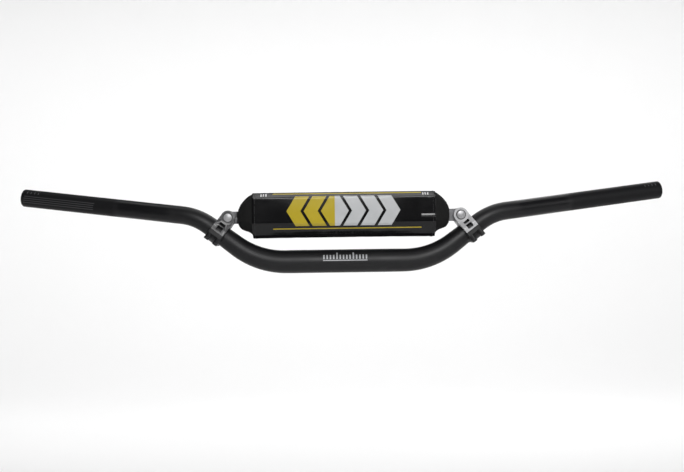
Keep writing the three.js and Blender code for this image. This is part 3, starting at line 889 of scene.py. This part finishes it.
def clamp_upper(side):
    depth = FOOT_HALF_DEPTH + 1
    slot = 6.1
    pivot_at = (0, 0, PIVOT_HEIGHT)
    tilt = math.atan2(centreline.riser.z, centreline.riser.x)
    body = prism(f"{side}_clamp_yoke", "y", arm_outline(), -depth, depth)
    boss_depth = ARM_HALF_DEPTH + BOSS_RISE
    turn = Matrix.Rotation(tilt, 4, "Y")
    flexed = turn @ Vector((FLEX[0], 0, FLEX[1])) + Vector(pivot_at)
    tongue_room = box("room", (-40, -slot, -TONGUE_ROOM), (0, slot, TONGUE_ROOM))
    placed(tongue_room, Matrix.Translation((0, 0, PIVOT_HEIGHT * MM)) @ turn)
    steps = [
        ("INTERSECT", prism("section", "x", arm_section(), -CLAMP_HALF_WIDTH - 1, CLAMP_HALF_WIDTH + 1)),
        ("UNION", prism("boss", "y", disc(CLAMP_HALF_WIDTH, 80), -boss_depth, boss_depth, pivot_at)),
        ("DIFFERENCE", prism("room", "y", disc(EYE_ROOM, 80), -slot, slot, pivot_at)),
        ("DIFFERENCE", prism("room", "y", disc(EYE_ROOM, 80), -slot, slot, flexed)),
        ("DIFFERENCE", box("room", (-40, -slot, PIVOT_HEIGHT), (40, slot, PIVOT_HEIGHT + 40))),
        ("DIFFERENCE", tongue_room),
        ("DIFFERENCE", seat_tool()),
        ("DIFFERENCE", prism("pin_hole", "y", disc(PIN_RADIUS + 0.3), -depth, depth, pivot_at)),
    ]
    carved(body, steps)
    eased(body, 0.4)
    steps = []
    for low, high in WINDOWS:
        half = WINDOW_HALF_WIDTH
        window = rounded([(-half, low), (half, low), (half, high), (-half, high)], 0.5)
        for near, far in ((9.0, depth), (-depth, -9.0)):
            steps.append(("DIFFERENCE", prism("window", "y", window, near, far)))
    for x, y in screw_places():
        steps.append(("DIFFERENCE", prism("hole", "z", disc(SCREW_RADIUS + 0.3, 32, (x, y)), -1, 6.1)))
    carved(body, steps)
    eased(body, 0.1, 60, 1)
    mark_window_shade(body)
    return body


def mark_window_shade(body):
    """Stores 1 on the points at the bottom of the windows, which the clamp shader darkens as painted shade.
    """
    values = []
    half = WINDOW_HALF_WIDTH + 0.05
    for vertex in body.data.vertices:
        x, y, z = vertex.co / MM
        inside = any(low - 0.05 < z < high + 0.05 for low, high in WINDOWS)
        values.append(1.0 if inside and abs(x) < half and 8.5 < abs(y) < 9.5 else 0.0)
    body.data.attributes.new("window_shade", "FLOAT", "POINT")
    body.data.attributes["window_shade"].data.foreach_set("value", values)


def clamp_lower(side):
    body = prism(f"{side}_clamp_cap", "x", disc(14.9, 96), -CLAMP_HALF_WIDTH, CLAMP_HALF_WIDTH)
    flange = box(
        "flange",
        (-CLAMP_HALF_WIDTH, -FOOT_HALF_DEPTH, -5.0),
        (CLAMP_HALF_WIDTH, FOOT_HALF_DEPTH, 3),
    )
    steps = [("UNION", flange)]
    for place in screw_places():
        steps.append(("UNION", prism("post", "z", disc(POST_RADIUS, 40, place), -POST_LENGTH, 1)))
    steps.append(("INTERSECT", box("below", (-30, -30, -40), (30, 30, -SPLIT_GAP))))
    steps.append(("DIFFERENCE", seat_tool()))
    for place in screw_places():
        steps.append(("DIFFERENCE", prism("hole", "z", disc(SCREW_RADIUS + 0.3, 32, place), -20, 1)))
    carved(body, steps)
    return eased(body, 0.5)


def clamp_screw(name, place):
    radius, length = SCREW_HEAD
    seat = -POST_LENGTH - 0.3
    face = seat - length
    shank_end = 5.6
    profile = [
        (face, 0), (face, radius), (seat, radius), (seat, SCREW_RADIUS),
        (shank_end, SCREW_RADIUS), (shank_end, 0),
    ]
    head = turned(
        name,
        "z",
        rounded(profile, [0, 0.5, 0.25, 0.1, 0.3, 0], 3, closed=False),
        (*place, 0),
        72,
        relief=lambda angle, along, r: r - 0.12 * (math.sin(18 * angle) > 0) * (r > 3.0),
    )
    hexagon = [(place[0] + x, place[1] + y) for x, y in disc(3.0 / math.sqrt(3), 6)]
    carved(head, [("DIFFERENCE", prism("socket", "z", hexagon, face - 1, face + 2.0))])
    return sharpen(head, 35)


def pivot_pin(side):
    radius, length = PIN_HEAD
    face = ARM_HALF_DEPTH + BOSS_RISE + 0.3
    thread_radius = 3.0
    end = face + 1 + 0.3 + NUT_LENGTH + 1
    front = -face - length
    profile = [
        (front, 0), (front + 0.18, 2.2), (front + 0.8, radius - 1.1), (front + 1.5, radius),
        (-face, radius), (-face, PIN_RADIUS), (face - 0.3, PIN_RADIUS), (face - 0.3, thread_radius),
        (end, thread_radius), (end, 0),
    ]
    fillets = [0, 1.0, 1.0, 0.6, 0.15, 0.1, 0.3, 0.1, 0.5, 0]
    pin = turned(
        f"{side}_pivot_pin_turned",
        "y",
        threaded(rounded(profile, fillets, 3, closed=False), face, end, thread_radius),
        (0, 0, PIVOT_HEIGHT),
        56,
    )
    return sharpen(pin, 32)


def threaded(profile, low, high, radius):
    """Puts V grooves along the straight stretch of a profile between low and high."""
    pitch = 0.8
    depth = 0.35
    before = [p for p in profile if p[0] <= low]
    after = [p for p in profile if p[0] > low]
    grooves = []
    count = int((high - 0.8 - low) / pitch)
    for k in range(count):
        start = low + 0.2 + k * pitch
        grooves += [(start, radius), (start + pitch / 2, radius - depth)]
    return before + grooves + after


def pivot_washer(side):
    near = ARM_HALF_DEPTH + BOSS_RISE + 0.3
    far = near + 1.0
    ring = [(near, 3.3), (near, WASHER_RADIUS), (far, WASHER_RADIUS), (far, 3.3)]
    profile = rounded(ring, 0.2, 3)
    washer = turned(f"{side}_washer_turned", "y", profile, (0, 0, PIVOT_HEIGHT), 72, hollow=True)
    return sharpen(washer, 40)


def pivot_nut(side):
    near = ARM_HALF_DEPTH + BOSS_RISE + 1.0 + 0.6
    far = near + NUT_LENGTH
    corner = NUT_ACROSS_FLATS / math.sqrt(3)
    nut = prism(f"{side}_nut_hex", "y", disc(corner, 6), near, far, (0, 0, PIVOT_HEIGHT))
    cone = turned(
        "cone",
        "y",
        [(near - 0.1, 0), (near - 0.1, corner - 0.6), (near + 0.5, corner + 0.1), (far - 0.5, corner + 0.1),
         (far + 0.1, corner - 0.6), (far + 0.1, 0)],
        (0, 0, PIVOT_HEIGHT),
        72,
    )
    hole = prism("hole", "y", disc(3.3), near - 1, far + 1, (0, 0, PIVOT_HEIGHT))
    carved(nut, [("INTERSECT", cone), ("DIFFERENCE", hole)])
    return eased(nut, 0.12, 30, 1)


def make_clamps():
    for side in ("left", "right"):
        matrix = clamp_matrix(side)
        silver = BRIGHT if side == "right" else GUNMETAL
        dress(placed(clamp_upper(side), matrix), silver, f"{side}_clamp_upper")
        dress(placed(clamp_lower(side), matrix), CAP_BLACK, f"{side}_clamp_lower")
        for index, place in enumerate(screw_places()):
            name = f"{side}_cap_screw_{index + 1}"
            screw = placed(clamp_screw(name, place), matrix)
            dress(screw, BLACK_STEEL, f"{side}_clamp_screw_{index + 1}")
        dress(placed(pivot_pin(side), matrix), PIN_STEEL, f"{side}_pivot_pin")
        dress(placed(pivot_washer(side), matrix), PIN_STEEL, f"{side}_pivot_washer")
        dress(placed(pivot_nut(side), matrix), PIN_STEEL, f"{side}_pivot_nut")


def dress(obj, material, node):
    finish_piece(obj, material, "handlebar", [node])


# ---------- crossbar ----------

ON_AXIS = (0, 0, AXIS_Z)


def eye_end(name, side, eye_bore, spigot):
    sign = -1 if side == "left" else 1
    half = TONGUE_HALF_HEIGHT
    depth = TONGUE_HALF_DEPTH
    outline = rounded([(113, -half), (PIVOT_X, -half), (PIVOT_X, half), (113, half)], 0)
    body = prism(name, "y", outline, -depth, depth)
    groove = [(119.5, -0.8), (131.5, -0.8), (131.5, 0.8), (119.5, 0.8)]
    steps = [
        ("UNION", prism("eye", "y", disc(EYE_RADIUS, 80, (PIVOT_X, 0)), -depth, depth)),
        ("UNION", prism("shoulder", "x", disc(CROSSBAR_RADIUS - 0.1, 80), 113.7, 118)),
        ("UNION", prism("spigot", "x", disc(spigot, 64), 94, 115)),
        ("DIFFERENCE", prism("bore", "y", disc(eye_bore, 64, (PIVOT_X, 0)), -9, 9)),
        ("DIFFERENCE", prism("pin_hole", "y", disc(1.8, 32, (103, 0)), -20, 20)),
    ]
    for near, far in ((-9, -depth + 0.7), (depth - 0.7, 9)):
        steps.append(("DIFFERENCE", prism("groove", "y", groove, near, far)))
    carved(body, steps)
    eased(body, 0.4)
    matrix = Matrix.Translation((0, 0, AXIS_Z * MM)) @ Matrix.Scale(sign, 4, (1, 0, 0))
    return placed(body, matrix)


def roll_pin(name, x, half_length):
    profile = [(-half_length, 0.7), (-half_length, 1.5), (half_length, 1.5), (half_length, 0.7)]
    pin = turned(name, "y", rounded(profile, 0.25, 3), (x, 0, AXIS_Z), 40, hollow=True)
    return sharpen(pin, 40)


def crossbar_tube():
    r = CROSSBAR_RADIUS
    outside = [
        (-113.4, r), (-3.0, r), (-3.0, 11), (-0.3, 11), (-0.3, r), (18.3, r), (18.3, 8.9), (20.1, 8.9),
        (20.1, r), (62, r), (62, 8.2), (50.7, 8.2), (50.7, CROSSBAR_BORE), (-113.4, CROSSBAR_BORE),
    ]
    fillets = [0.5, 0.2, 0.4, 0.4, 0.2, 0.15, 0.1, 0.1, 0.15, 0.4, 0.3, 0.1, 0.2, 0.3]
    tube = turned("crossbar_outer_tube", "x", rounded(outside, fillets, 3), ON_AXIS, 64, hollow=True)
    slot = box("slot", (6.7, -2.1, AXIS_Z), (11.3, 2.1, AXIS_Z + 12))
    pin = prism("pin_hole", "y", disc(1.8, 32, (-103, AXIS_Z)), -20, 20)
    carved(tube, [("DIFFERENCE", slot), ("DIFFERENCE", pin)])
    return sharpen(tube, 35)


def crossbar_rod():
    profile = [(-30, ROD_BORE), (-30, ROD_RADIUS), (113.4, ROD_RADIUS), (113.4, ROD_BORE)]
    rod = turned("crossbar_inner_rod", "x", rounded(profile, 0.4, 3), ON_AXIS, 96, hollow=True)
    carved(rod, [("DIFFERENCE", prism("pin_hole", "y", disc(1.8, 32, (103, AXIS_Z)), -20, 20))])
    return sharpen(rod, 35)


def slide_bush():
    profile = [(51, 6.9), (51, 7.9), (62.3, 7.9), (62.3, 9.5), (65.3, 9.5), (65.3, 8.2), (64.6, 6.9)]
    bush = turned("bush_flanged", "x", rounded(profile, 0.25, 3), ON_AXIS, 64, hollow=True)
    return sharpen(bush, 35)


def eye_bush():
    depth = TONGUE_HALF_DEPTH
    profile = [(-depth, 3.8), (-depth, 4.9), (depth, 4.9), (depth, 3.8)]
    bush = turned("eye_sleeve", "y", rounded(profile, 0.2, 3), (-PIVOT_X, 0, AXIS_Z), 64, hollow=True)
    return sharpen(bush, 40)


def lock_ring():
    """Knurled ring; the cam inside it runs down from the top over its key."""
    profile = [(0, 9.8), (0, 12.5), (18, 12.5), (18, 9.8)]
    grip = [(2.6, 12.5), (3.2, 12.1), (14.8, 12.1), (15.4, 12.5)]
    outer = rounded(profile, 0.5, 3)
    split = max(index for index, p in enumerate(outer) if p[1] > 12.4 and p[0] < 9)
    points = outer[: split + 1] + grip + outer[split + 1:]
    ring = turned(
        "lock_ring_knurled",
        "x",
        resampled(points, 1.6),
        ON_AXIS,
        120,
        hollow=True,
        relief=knurl,
    )
    cam = [(0, 0)]
    for degrees in range(-20, 103, 2):
        radius = 9.8 + 1.7 * (1 - max(0, degrees) / 102)
        angle = math.radians(90 - degrees)
        cam.append((radius * math.cos(angle), AXIS_Z + radius * math.sin(angle)))
    cam[0] = (0, AXIS_Z)
    carved(ring, [("DIFFERENCE", prism("cam", "x", cam, 4, 14))])
    return sharpen(ring, 40)


def knurl(angle, along, radius):
    if not 3.0 < along < 15.0 or radius < 11.5:
        return radius
    first = abs(math.sin(24 * angle + along * 1.1))
    second = abs(math.sin(24 * angle - along * 1.1))
    return radius + 0.35 * (first * second)


def lock_key():
    key = box("key_dog", (7, -1.8, AXIS_Z + 8.3), (11, 1.8, AXIS_Z + 11))
    return eased(key, 0.3)


def ring_clip():
    profile = [(18.6, 9.2), (18.6, 11.0), (19.8, 11.0), (19.8, 9.2)]
    clip = turned("clip_open", "x", rounded(profile, 0.15, 2), ON_AXIS, 64, hollow=True)
    opening = box("opening", (17, -2.5, AXIS_Z - 20), (21, 2.5, AXIS_Z))
    carved(clip, [("DIFFERENCE", opening)])
    return eased(clip, 0.15, 40, 1)


def make_crossbar():
    left_end = eye_end("left_tongue", "left", 5.2, CROSSBAR_BORE - 0.3)
    right_end = eye_end("right_tongue", "right", 5.0, ROD_BORE - 0.3)
    outer = "crossbar_outer"
    inner = "crossbar_inner"
    finish_piece(left_end, EYE_SILVER, outer, ["left_eye_end"])
    finish_piece(right_end, EYE_SILVER, inner, ["right_eye_end"])
    finish_piece(crossbar_tube(), CROSSBAR_BLACK, outer, ["crossbar_tube"])
    finish_piece(crossbar_rod(), ROD_SILVER, inner, ["crossbar_rod"])
    finish_piece(slide_bush(), POLYMER, outer, ["slide_bush"])
    finish_piece(eye_bush(), POLYMER, outer, ["left_eye_bush"])
    left_pin = roll_pin("left_spring_pin", -103, 9.0)
    right_pin = roll_pin("right_spring_pin", 103, 6.1)
    finish_piece(left_pin, BLACK_STEEL, outer, ["left_roll_pin"])
    finish_piece(right_pin, BLACK_STEEL, inner, ["right_roll_pin"])
    finish_piece(lock_ring(), ROD_SILVER, "lock_ring", ["lock_ring"])
    finish_piece(lock_key(), KEY_STEEL, "lock_key", ["lock_key"])
    finish_piece(ring_clip(), BLACK_STEEL, outer, ["lock_ring_clip"])


# ---------- crossbar pad: (y, z) sections on the crossbar's axis ----------

REAR_OPEN = POCKET_HALF_HEIGHT
PAD_CORNERS = [
    (21.0, -REAR_OPEN), (21.0, -21.0), (15.0, -26.0), (-9.0, -26.0), (-14.0, -22.6), (-27.0, -8.5),
    (-27.0, 22.8), (-18.5, 29.3), (15.0, 29.3), (21.0, 24.2), (21.0, REAR_OPEN),
]
PAD_RADII = [0, 2.5, 4.0, 3.0, 4.0, 2.2, 1.8, 2.4, 4.0, 2.5, 0]


def on_pad(x, section_point):
    return Vector((x + PAD_OFFSET, section_point[0], AXIS_Z + section_point[1]))


def smooth_step(t):
    t = min(max(t, 0.0), 1.0)
    return t * t * (3 - 2 * t)


def outward_normals(points):
    """For an open outline that runs clockwise seen from +x, from the rear's bottom to its top."""
    normals = []
    for index in range(len(points)):
        before = Vector(points[max(index - 1, 0)])
        after = Vector(points[min(index + 1, len(points) - 1)])
        run = (after - before).normalized()
        normals.append(Vector((-run.y, run.x)))
    return normals


def pad_outline():
    return resampled(rounded(PAD_CORNERS, PAD_RADII, 5, closed=False), 2.6, closed=False)


def cover_lift(x, y, z):
    """How far the cover stands off its plain outline: crowned faces and a tucked hem."""
    end = COVER_HALF_LENGTH - abs(x)
    crown = 0.5 * (1 - (x / COVER_HALF_LENGTH) ** 2)
    face = math.exp(-(((z - 7) / 14.0) ** 2)) if y < -24 else 0.4
    hem = -0.45 * math.exp(-((end / 0.7) ** 2))
    wave = 0.10 * noise.noise(Vector((x / 40.0, y / 14.0, z / 16.0)))
    slack = 0.22 * noise.noise(Vector((x / 13.0, 5.0, z / 9.0))) * smooth_step((-10 - z) / 8)
    pucker = 0.10 * math.sin(x * 1.7) * math.exp(-((end / 8.0) ** 2)) * (z < -8 or z > 22)
    return crown * face + hem + (wave + slack) * smooth_step(end / 12.0) + pucker


def arch(x, z):
    """The lower bevel's bottom edge rises a little towards the middle."""
    return 1.3 * (1 - (x / COVER_HALF_LENGTH) ** 2) * math.exp(-(((z + 22.7) / 3.5) ** 2))


def cover_stations():
    """Places along the cover, close together at the hems."""
    hem = [COVER_HALF_LENGTH - step for step in (0.0, 0.3, 0.8, 1.6, 3.0)]
    middle = [COVER_HALF_LENGTH - 5.0 - 3.2 * k for k in range(34)]
    half = [x for x in hem + middle if x > 0]
    return [-x for x in half] + half[::-1]


def make_cover():
    outline = pad_outline()
    normals = outward_normals(outline)
    places = cover_stations()
    count = len(places)
    rings = []
    for x in places:
        outer = []
        inner = []
        for (y, z), normal in zip(outline, normals):
            lift = min(cover_lift(x, y, z), 0.9)
            if y > 20.0:
                lift = min(lift, 0.05)
            place = Vector((y, z + arch(x, z))) + normal * lift
            outer.append(on_pad(x, place))
            inner.append(on_pad(x, place - normal * COVER_THICKNESS))
        rings.append(outer + inner[::-1])
    size = len(outline)
    points = [p for ring in rings for p in ring]
    full = 2 * size
    faces = []
    for index in range(count - 1):
        for k in range(full):
            after = (k + 1) % full
            low = index * full
            high = low + full
            faces.append((low + k, low + after, high + after, high + k))
    for index in (0, count - 1):
        base = index * full
        for k in range(size - 1):
            faces.append((base + k, base + k + 1, base + full - 2 - k, base + full - 1 - k))
    cover = make_object("pad_cover_skin", points, faces)
    sharpen(cover, 50)
    finish_piece(cover, PRINTED, "pad", ["pad_cover"])
    return outline, normals


# Half sizes of the foam's ends against the distance from the middle.
FOAM_TOP = (
    (111.3, 27.7), (112.4, 27.4), (117.0, 24.5), (120.0, 22.1), (123.0, 19.1), (126.0, 15.6), (127.8, 12.2),
    (128.8, 10.0), (129.2, 8.8),
)
FOAM_BOTTOM = (
    (111.3, 24.5), (111.5, 21.7), (113.2, 20.1), (115.0, 18.6), (117.0, 17.6), (120.0, 16.7), (122.5, 15.8),
    (125.0, 14.6), (126.6, 13.3), (128.2, 11.2), (129.2, 9.4),
)
FOAM_FRONT = ((111.3, 25.4), (114.0, 24.6), (119.0, 22.4), (123.0, 19.2), (127.0, 15.6), (129.2, 13.0))
FOAM_REAR = ((111.3, 19.4), (114.0, 18.6), (119.0, 16.8), (123.0, 15.0), (127.0, 13.4), (129.2, 12.2))


def follow(curve, x):
    """The value between the (x, value) points of a curve."""
    if x <= curve[0][0]:
        return curve[0][1]
    for (x0, v0), (x1, v1) in zip(curve, curve[1:]):
        if x <= x1:
            t = (x - x0) / (x1 - x0)
            return v0 + (v1 - v0) * t
    return curve[-1][1]


def foam_ring(x, channel):
    """One closed section of the foam: outside, then the channel that opens to the rear."""
    far = abs(x)
    top = follow(FOAM_TOP, far) / 27.7
    bottom = follow(FOAM_BOTTOM, far) / 24.4
    front = follow(FOAM_FRONT, far) / 25.4
    rear = follow(FOAM_REAR, far) / 19.4
    outside = []
    for (y, z), normal in zip(FOAM_OUTLINE, FOAM_NORMALS):
        wobble = 0.35 * noise.noise(Vector((x / 9.0, y / 8.0, z / 8.0))) * smooth_step((far - 111) / 6)
        y2 = (y + normal.x * wobble) * (front if y < 0 else rear)
        z2 = (z + normal.y * wobble) * (top if z > 0 else bottom)
        outside.append((y2, z2))
    mouth = outside[0][0]
    first = outside[0]
    last = outside[-1]
    outside[0] = (first[0], min(first[1], -channel - 0.2))
    outside[-1] = (last[0], max(last[1], channel + 0.2))
    inside = [(mouth, channel), (-channel + 2.0, channel), (-channel, channel - 2.0)]
    inside += [(-channel, 2.0 - channel), (2.0 - channel, -channel), (mouth, -channel)]
    return [on_pad(x, p) for p in outside + inside]


def foam_outline():
    """The cover's outline moved in, with its rear lands run up to the channel's mouth."""
    outline = pad_outline()
    normals = outward_normals(outline)
    return [tuple(Vector(p) - n * (COVER_THICKNESS + 0.35)) for p, n in zip(outline, normals)]


FOAM_OUTLINE = foam_outline()
FOAM_NORMALS = outward_normals(FOAM_OUTLINE)


def foam_stations():
    """(x, channel half height) pairs, with a step at each wall of the lock ring's pocket."""
    neck = 8.0
    wide = POCKET_HALF_HEIGHT
    body = CHANNEL_HALF_HEIGHT
    mouth = 118.5
    tip = FOAM_HALF_LENGTH - mouth
    half = [(mouth - 0.1, body)] + [(mouth + tip * k / 18, neck) for k in range(0, 19)]
    steps = (106.0, 109.0, 111.0, 111.3, 111.5, 112.0, 112.8, 113.6, 114.6, 115.8, 117.2)
    outer = [(x, body) for x in steps] + half
    left = [(-x, c) for x, c in reversed(outer)]
    middle = [(-96.0 + 12.0 * k, body) for k in range(0, 8)]
    pocket = [(POCKET[0] - 0.01, body), (POCKET[0], wide), (POCKET[1], wide), (POCKET[1] + 0.01, body)]
    rest = [(32.0 + 12.0 * k, body) for k in range(0, 6)]
    return left + middle + pocket + rest + outer


def make_foam():
    rings = [foam_ring(x, channel) for x, channel in foam_stations()]
    core = skin("foam_core", rings)
    sharpen(core, 50)
    finish_piece(core, FOAM, "pad", ["pad_core"])


def make_hems(outline, normals):
    """Stitches along the hem at each end of the cover."""
    points = []
    faces = []
    pitch = 3.1
    length = 2.1
    for x in (-COVER_HALF_LENGTH + 3.2, COVER_HALF_LENGTH - 3.2):
        walked = 0.0
        goal = pitch
        for (a, n), b in zip(zip(outline, normals), outline[1:]):
            step = (Vector(b) - Vector(a)).length
            walked += step
            if walked < goal:
                continue
            goal += pitch
            run = (Vector(b) - Vector(a)).normalized()
            lift = min(cover_lift(x, a[0], a[1]), 0.05 if a[0] > 20.0 else 0.9)
            at = Vector((a[0], a[1] + arch(x, a[1]))) + n * (lift + 0.12)
            add_stitch(points, faces, x, at, run, n, length)
    stitches = make_object("cover_stitches", points, faces)
    finish_piece(stitches, THREAD, "pad")


def add_stitch(points, faces, x, at, run, normal, length):
    """A short arched thread lying on the cover."""
    sides = 5
    steps = 4
    radius = 0.28
    base = len(points)
    for k in range(steps + 1):
        t = k / steps
        along = (t - 0.5) * length
        swell = radius * math.sqrt(max(0.05, 1 - (2 * t - 1) ** 4))
        sink = -0.25 * (2 * t - 1) ** 2
        for side in range(sides):
            angle = 2 * math.pi * side / sides
            place = at + run * along + normal * (sink + swell * math.sin(angle))
            points.append(on_pad(x + swell * math.cos(angle), place))
    for k in range(steps):
        for side in range(sides):
            after = (side + 1) % sides
            low = base + k * sides
            faces.append((low + side, low + after, low + sides + after, low + sides + side))
    faces.append(tuple(base + side for side in range(sides)))
    faces.append(tuple(base + steps * sides + side for side in reversed(range(sides))))


def flap_path():
    near = 21.3 + 0.6
    far = 23.9 + 0.6
    corners = [(near, 20.0), (near, 16.6), (far, 12.4), (far, -20.5)]
    return resampled(rounded(corners, [0, 2.5, 2.5, 0], 6, closed=False), 2.8, closed=False)


def make_flap():
    """The rear flap: a folded-edge vinyl sheet that hangs from its sewn top edge."""
    path = flap_path()
    count = 61
    half = 0.6
    columns = []
    for k in range(count):
        x = FLAP_HALF_LENGTH * (2 * k / (count - 1) - 1)
        outer = []
        inner = []
        for index, p in enumerate(path):
            t = index / (len(path) - 1)
            ripple = 0.35 * t * noise.noise(Vector((x / 22.0, 3.1, t * 2.0))) + 0.12 * t
            edge = min(FLAP_HALF_LENGTH - abs(x), (1 - t) * 42.0)
            hem = 0.25 * smooth_step((6.0 - edge) / 2.0)
            away = max(0, ripple)
            outer.append(on_pad(x, (p[0] + half + away + hem, p[1])))
            inner.append(on_pad(x, (p[0] - half + away, p[1])))
        columns.append(outer + inner[::-1])
    flap = skin("rear_flap", columns)
    sharpen(flap, 50)
    finish_piece(flap, VINYL, "pad_flap", ["pad_flap"])


def tape(name, material, node, body):
    """A closure tape with a pile of small bumps on its face."""
    low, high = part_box(node)
    low = Vector(low) / MM
    high = Vector(high) / MM
    strip = box(name, low, high)
    eased(strip, 0.25)
    finish_piece(strip, material, body, [node])
    return strip


def make_pad():
    outline, normals = make_cover()
    make_foam()
    make_hems(outline, normals)
    tape("loop_tape_strip", LOOPS, "loop_strip", "pad")
    tape("hook_tape_strip", HOOKS, "hook_strip", "pad_flap")
    make_flap()


# ---------- studio ----------


def make_stage():
    """A pale floor that curves up into a low backdrop far behind."""
    shader = Shader("backdrop", (0.9, 0.9, 0.9), 0.9)
    shader.tint(shader.noise(3, 2), (0.90, 0.90, 0.90), (0.92, 0.92, 0.92))
    shader.set("Specular IOR Level", 0.1)
    profile = [(-4.0, 0.0), (2.2, 0.0), (2.2, 1.5)]
    curve = rounded(profile, [0, 0.8, 0], 16, closed=False)
    floor_z = -0.42
    half_width = 4.5
    points = []
    for y, z in curve:
        for x in (-half_width, half_width):
            points.append(Vector((x, y, z + floor_z)) / MM)
    faces = [(2 * k, 2 * k + 1, 2 * k + 3, 2 * k + 2) for k in range(len(curve) - 1)]
    stage = make_object("backdrop", points, faces)
    stage.data.materials.append(shader.material)


def area_light(name, place, target, size, power):
    data = bpy.data.lights.new(name, "AREA")
    data.shape = "RECTANGLE"
    data.size = size[0]
    data.size_y = size[1]
    data.energy = power
    light = bpy.data.objects.new(name, data)
    light.location = place
    light.rotation_euler = (Vector(target) - Vector(place)).to_track_quat("-Z", "Y").to_euler()
    bpy.context.collection.objects.link(light)


def make_lights():
    """A softbox over the camera, weak light from above, the right and behind, and a backdrop wash."""
    world = bpy.data.worlds.new("studio")
    bpy.context.scene.world = world
    world.use_nodes = True
    background = world.node_tree.nodes["Background"]
    background.inputs["Color"].default_value = (1, 1, 1, 1)
    background.inputs["Strength"].default_value = 0.055
    area_light("softbox", (0.12, -1.45, 0.62), (0, 0, 0), (1.0, 0.5), 18)
    area_light("overhead", (0, 0.25, 1.5), (0, 0, 0), (1.6, 0.4), 5)
    area_light("fill", (2.0, -1.3, 0.6), (0.1, 0, 0), (1.0, 1.0), 7)
    area_light("rear", (0.3, 1.2, 1.1), (0, 0, 0), (1.2, 0.5), 6)
    area_light("backdrop_wash", (0, 0.7, 0.8), (0, 2.4, -0.2), (6.5, 0.3), 45)


def make_camera():
    """The photograph's view: level, a little to the left of the middle, 1.15 m away."""
    data = bpy.data.cameras.new("camera")
    camera = bpy.data.objects.new("camera", data)
    bpy.context.collection.objects.link(camera)
    yaw = 0.0178
    roll = -0.0140
    forward = Vector((math.sin(yaw), math.cos(yaw), 0))
    up = Vector((0, 0, 1))
    right = forward.cross(up)
    turn = Matrix((right, up, -forward)).transposed().to_4x4() @ Matrix.Rotation(roll, 4, "Z")
    camera.matrix_world = Matrix.Translation((-0.0238, -1.15, 0.0308)) @ turn
    data.sensor_width = 36
    data.lens = 48.98
    data.clip_start = 0.01
    data.clip_end = 50
    bpy.context.scene.camera = camera


make_tube()
make_clamps()
make_crossbar()
make_pad()
make_stage()
make_lights()
make_camera()
bpy.context.scene.view_settings.view_transform = "Standard"
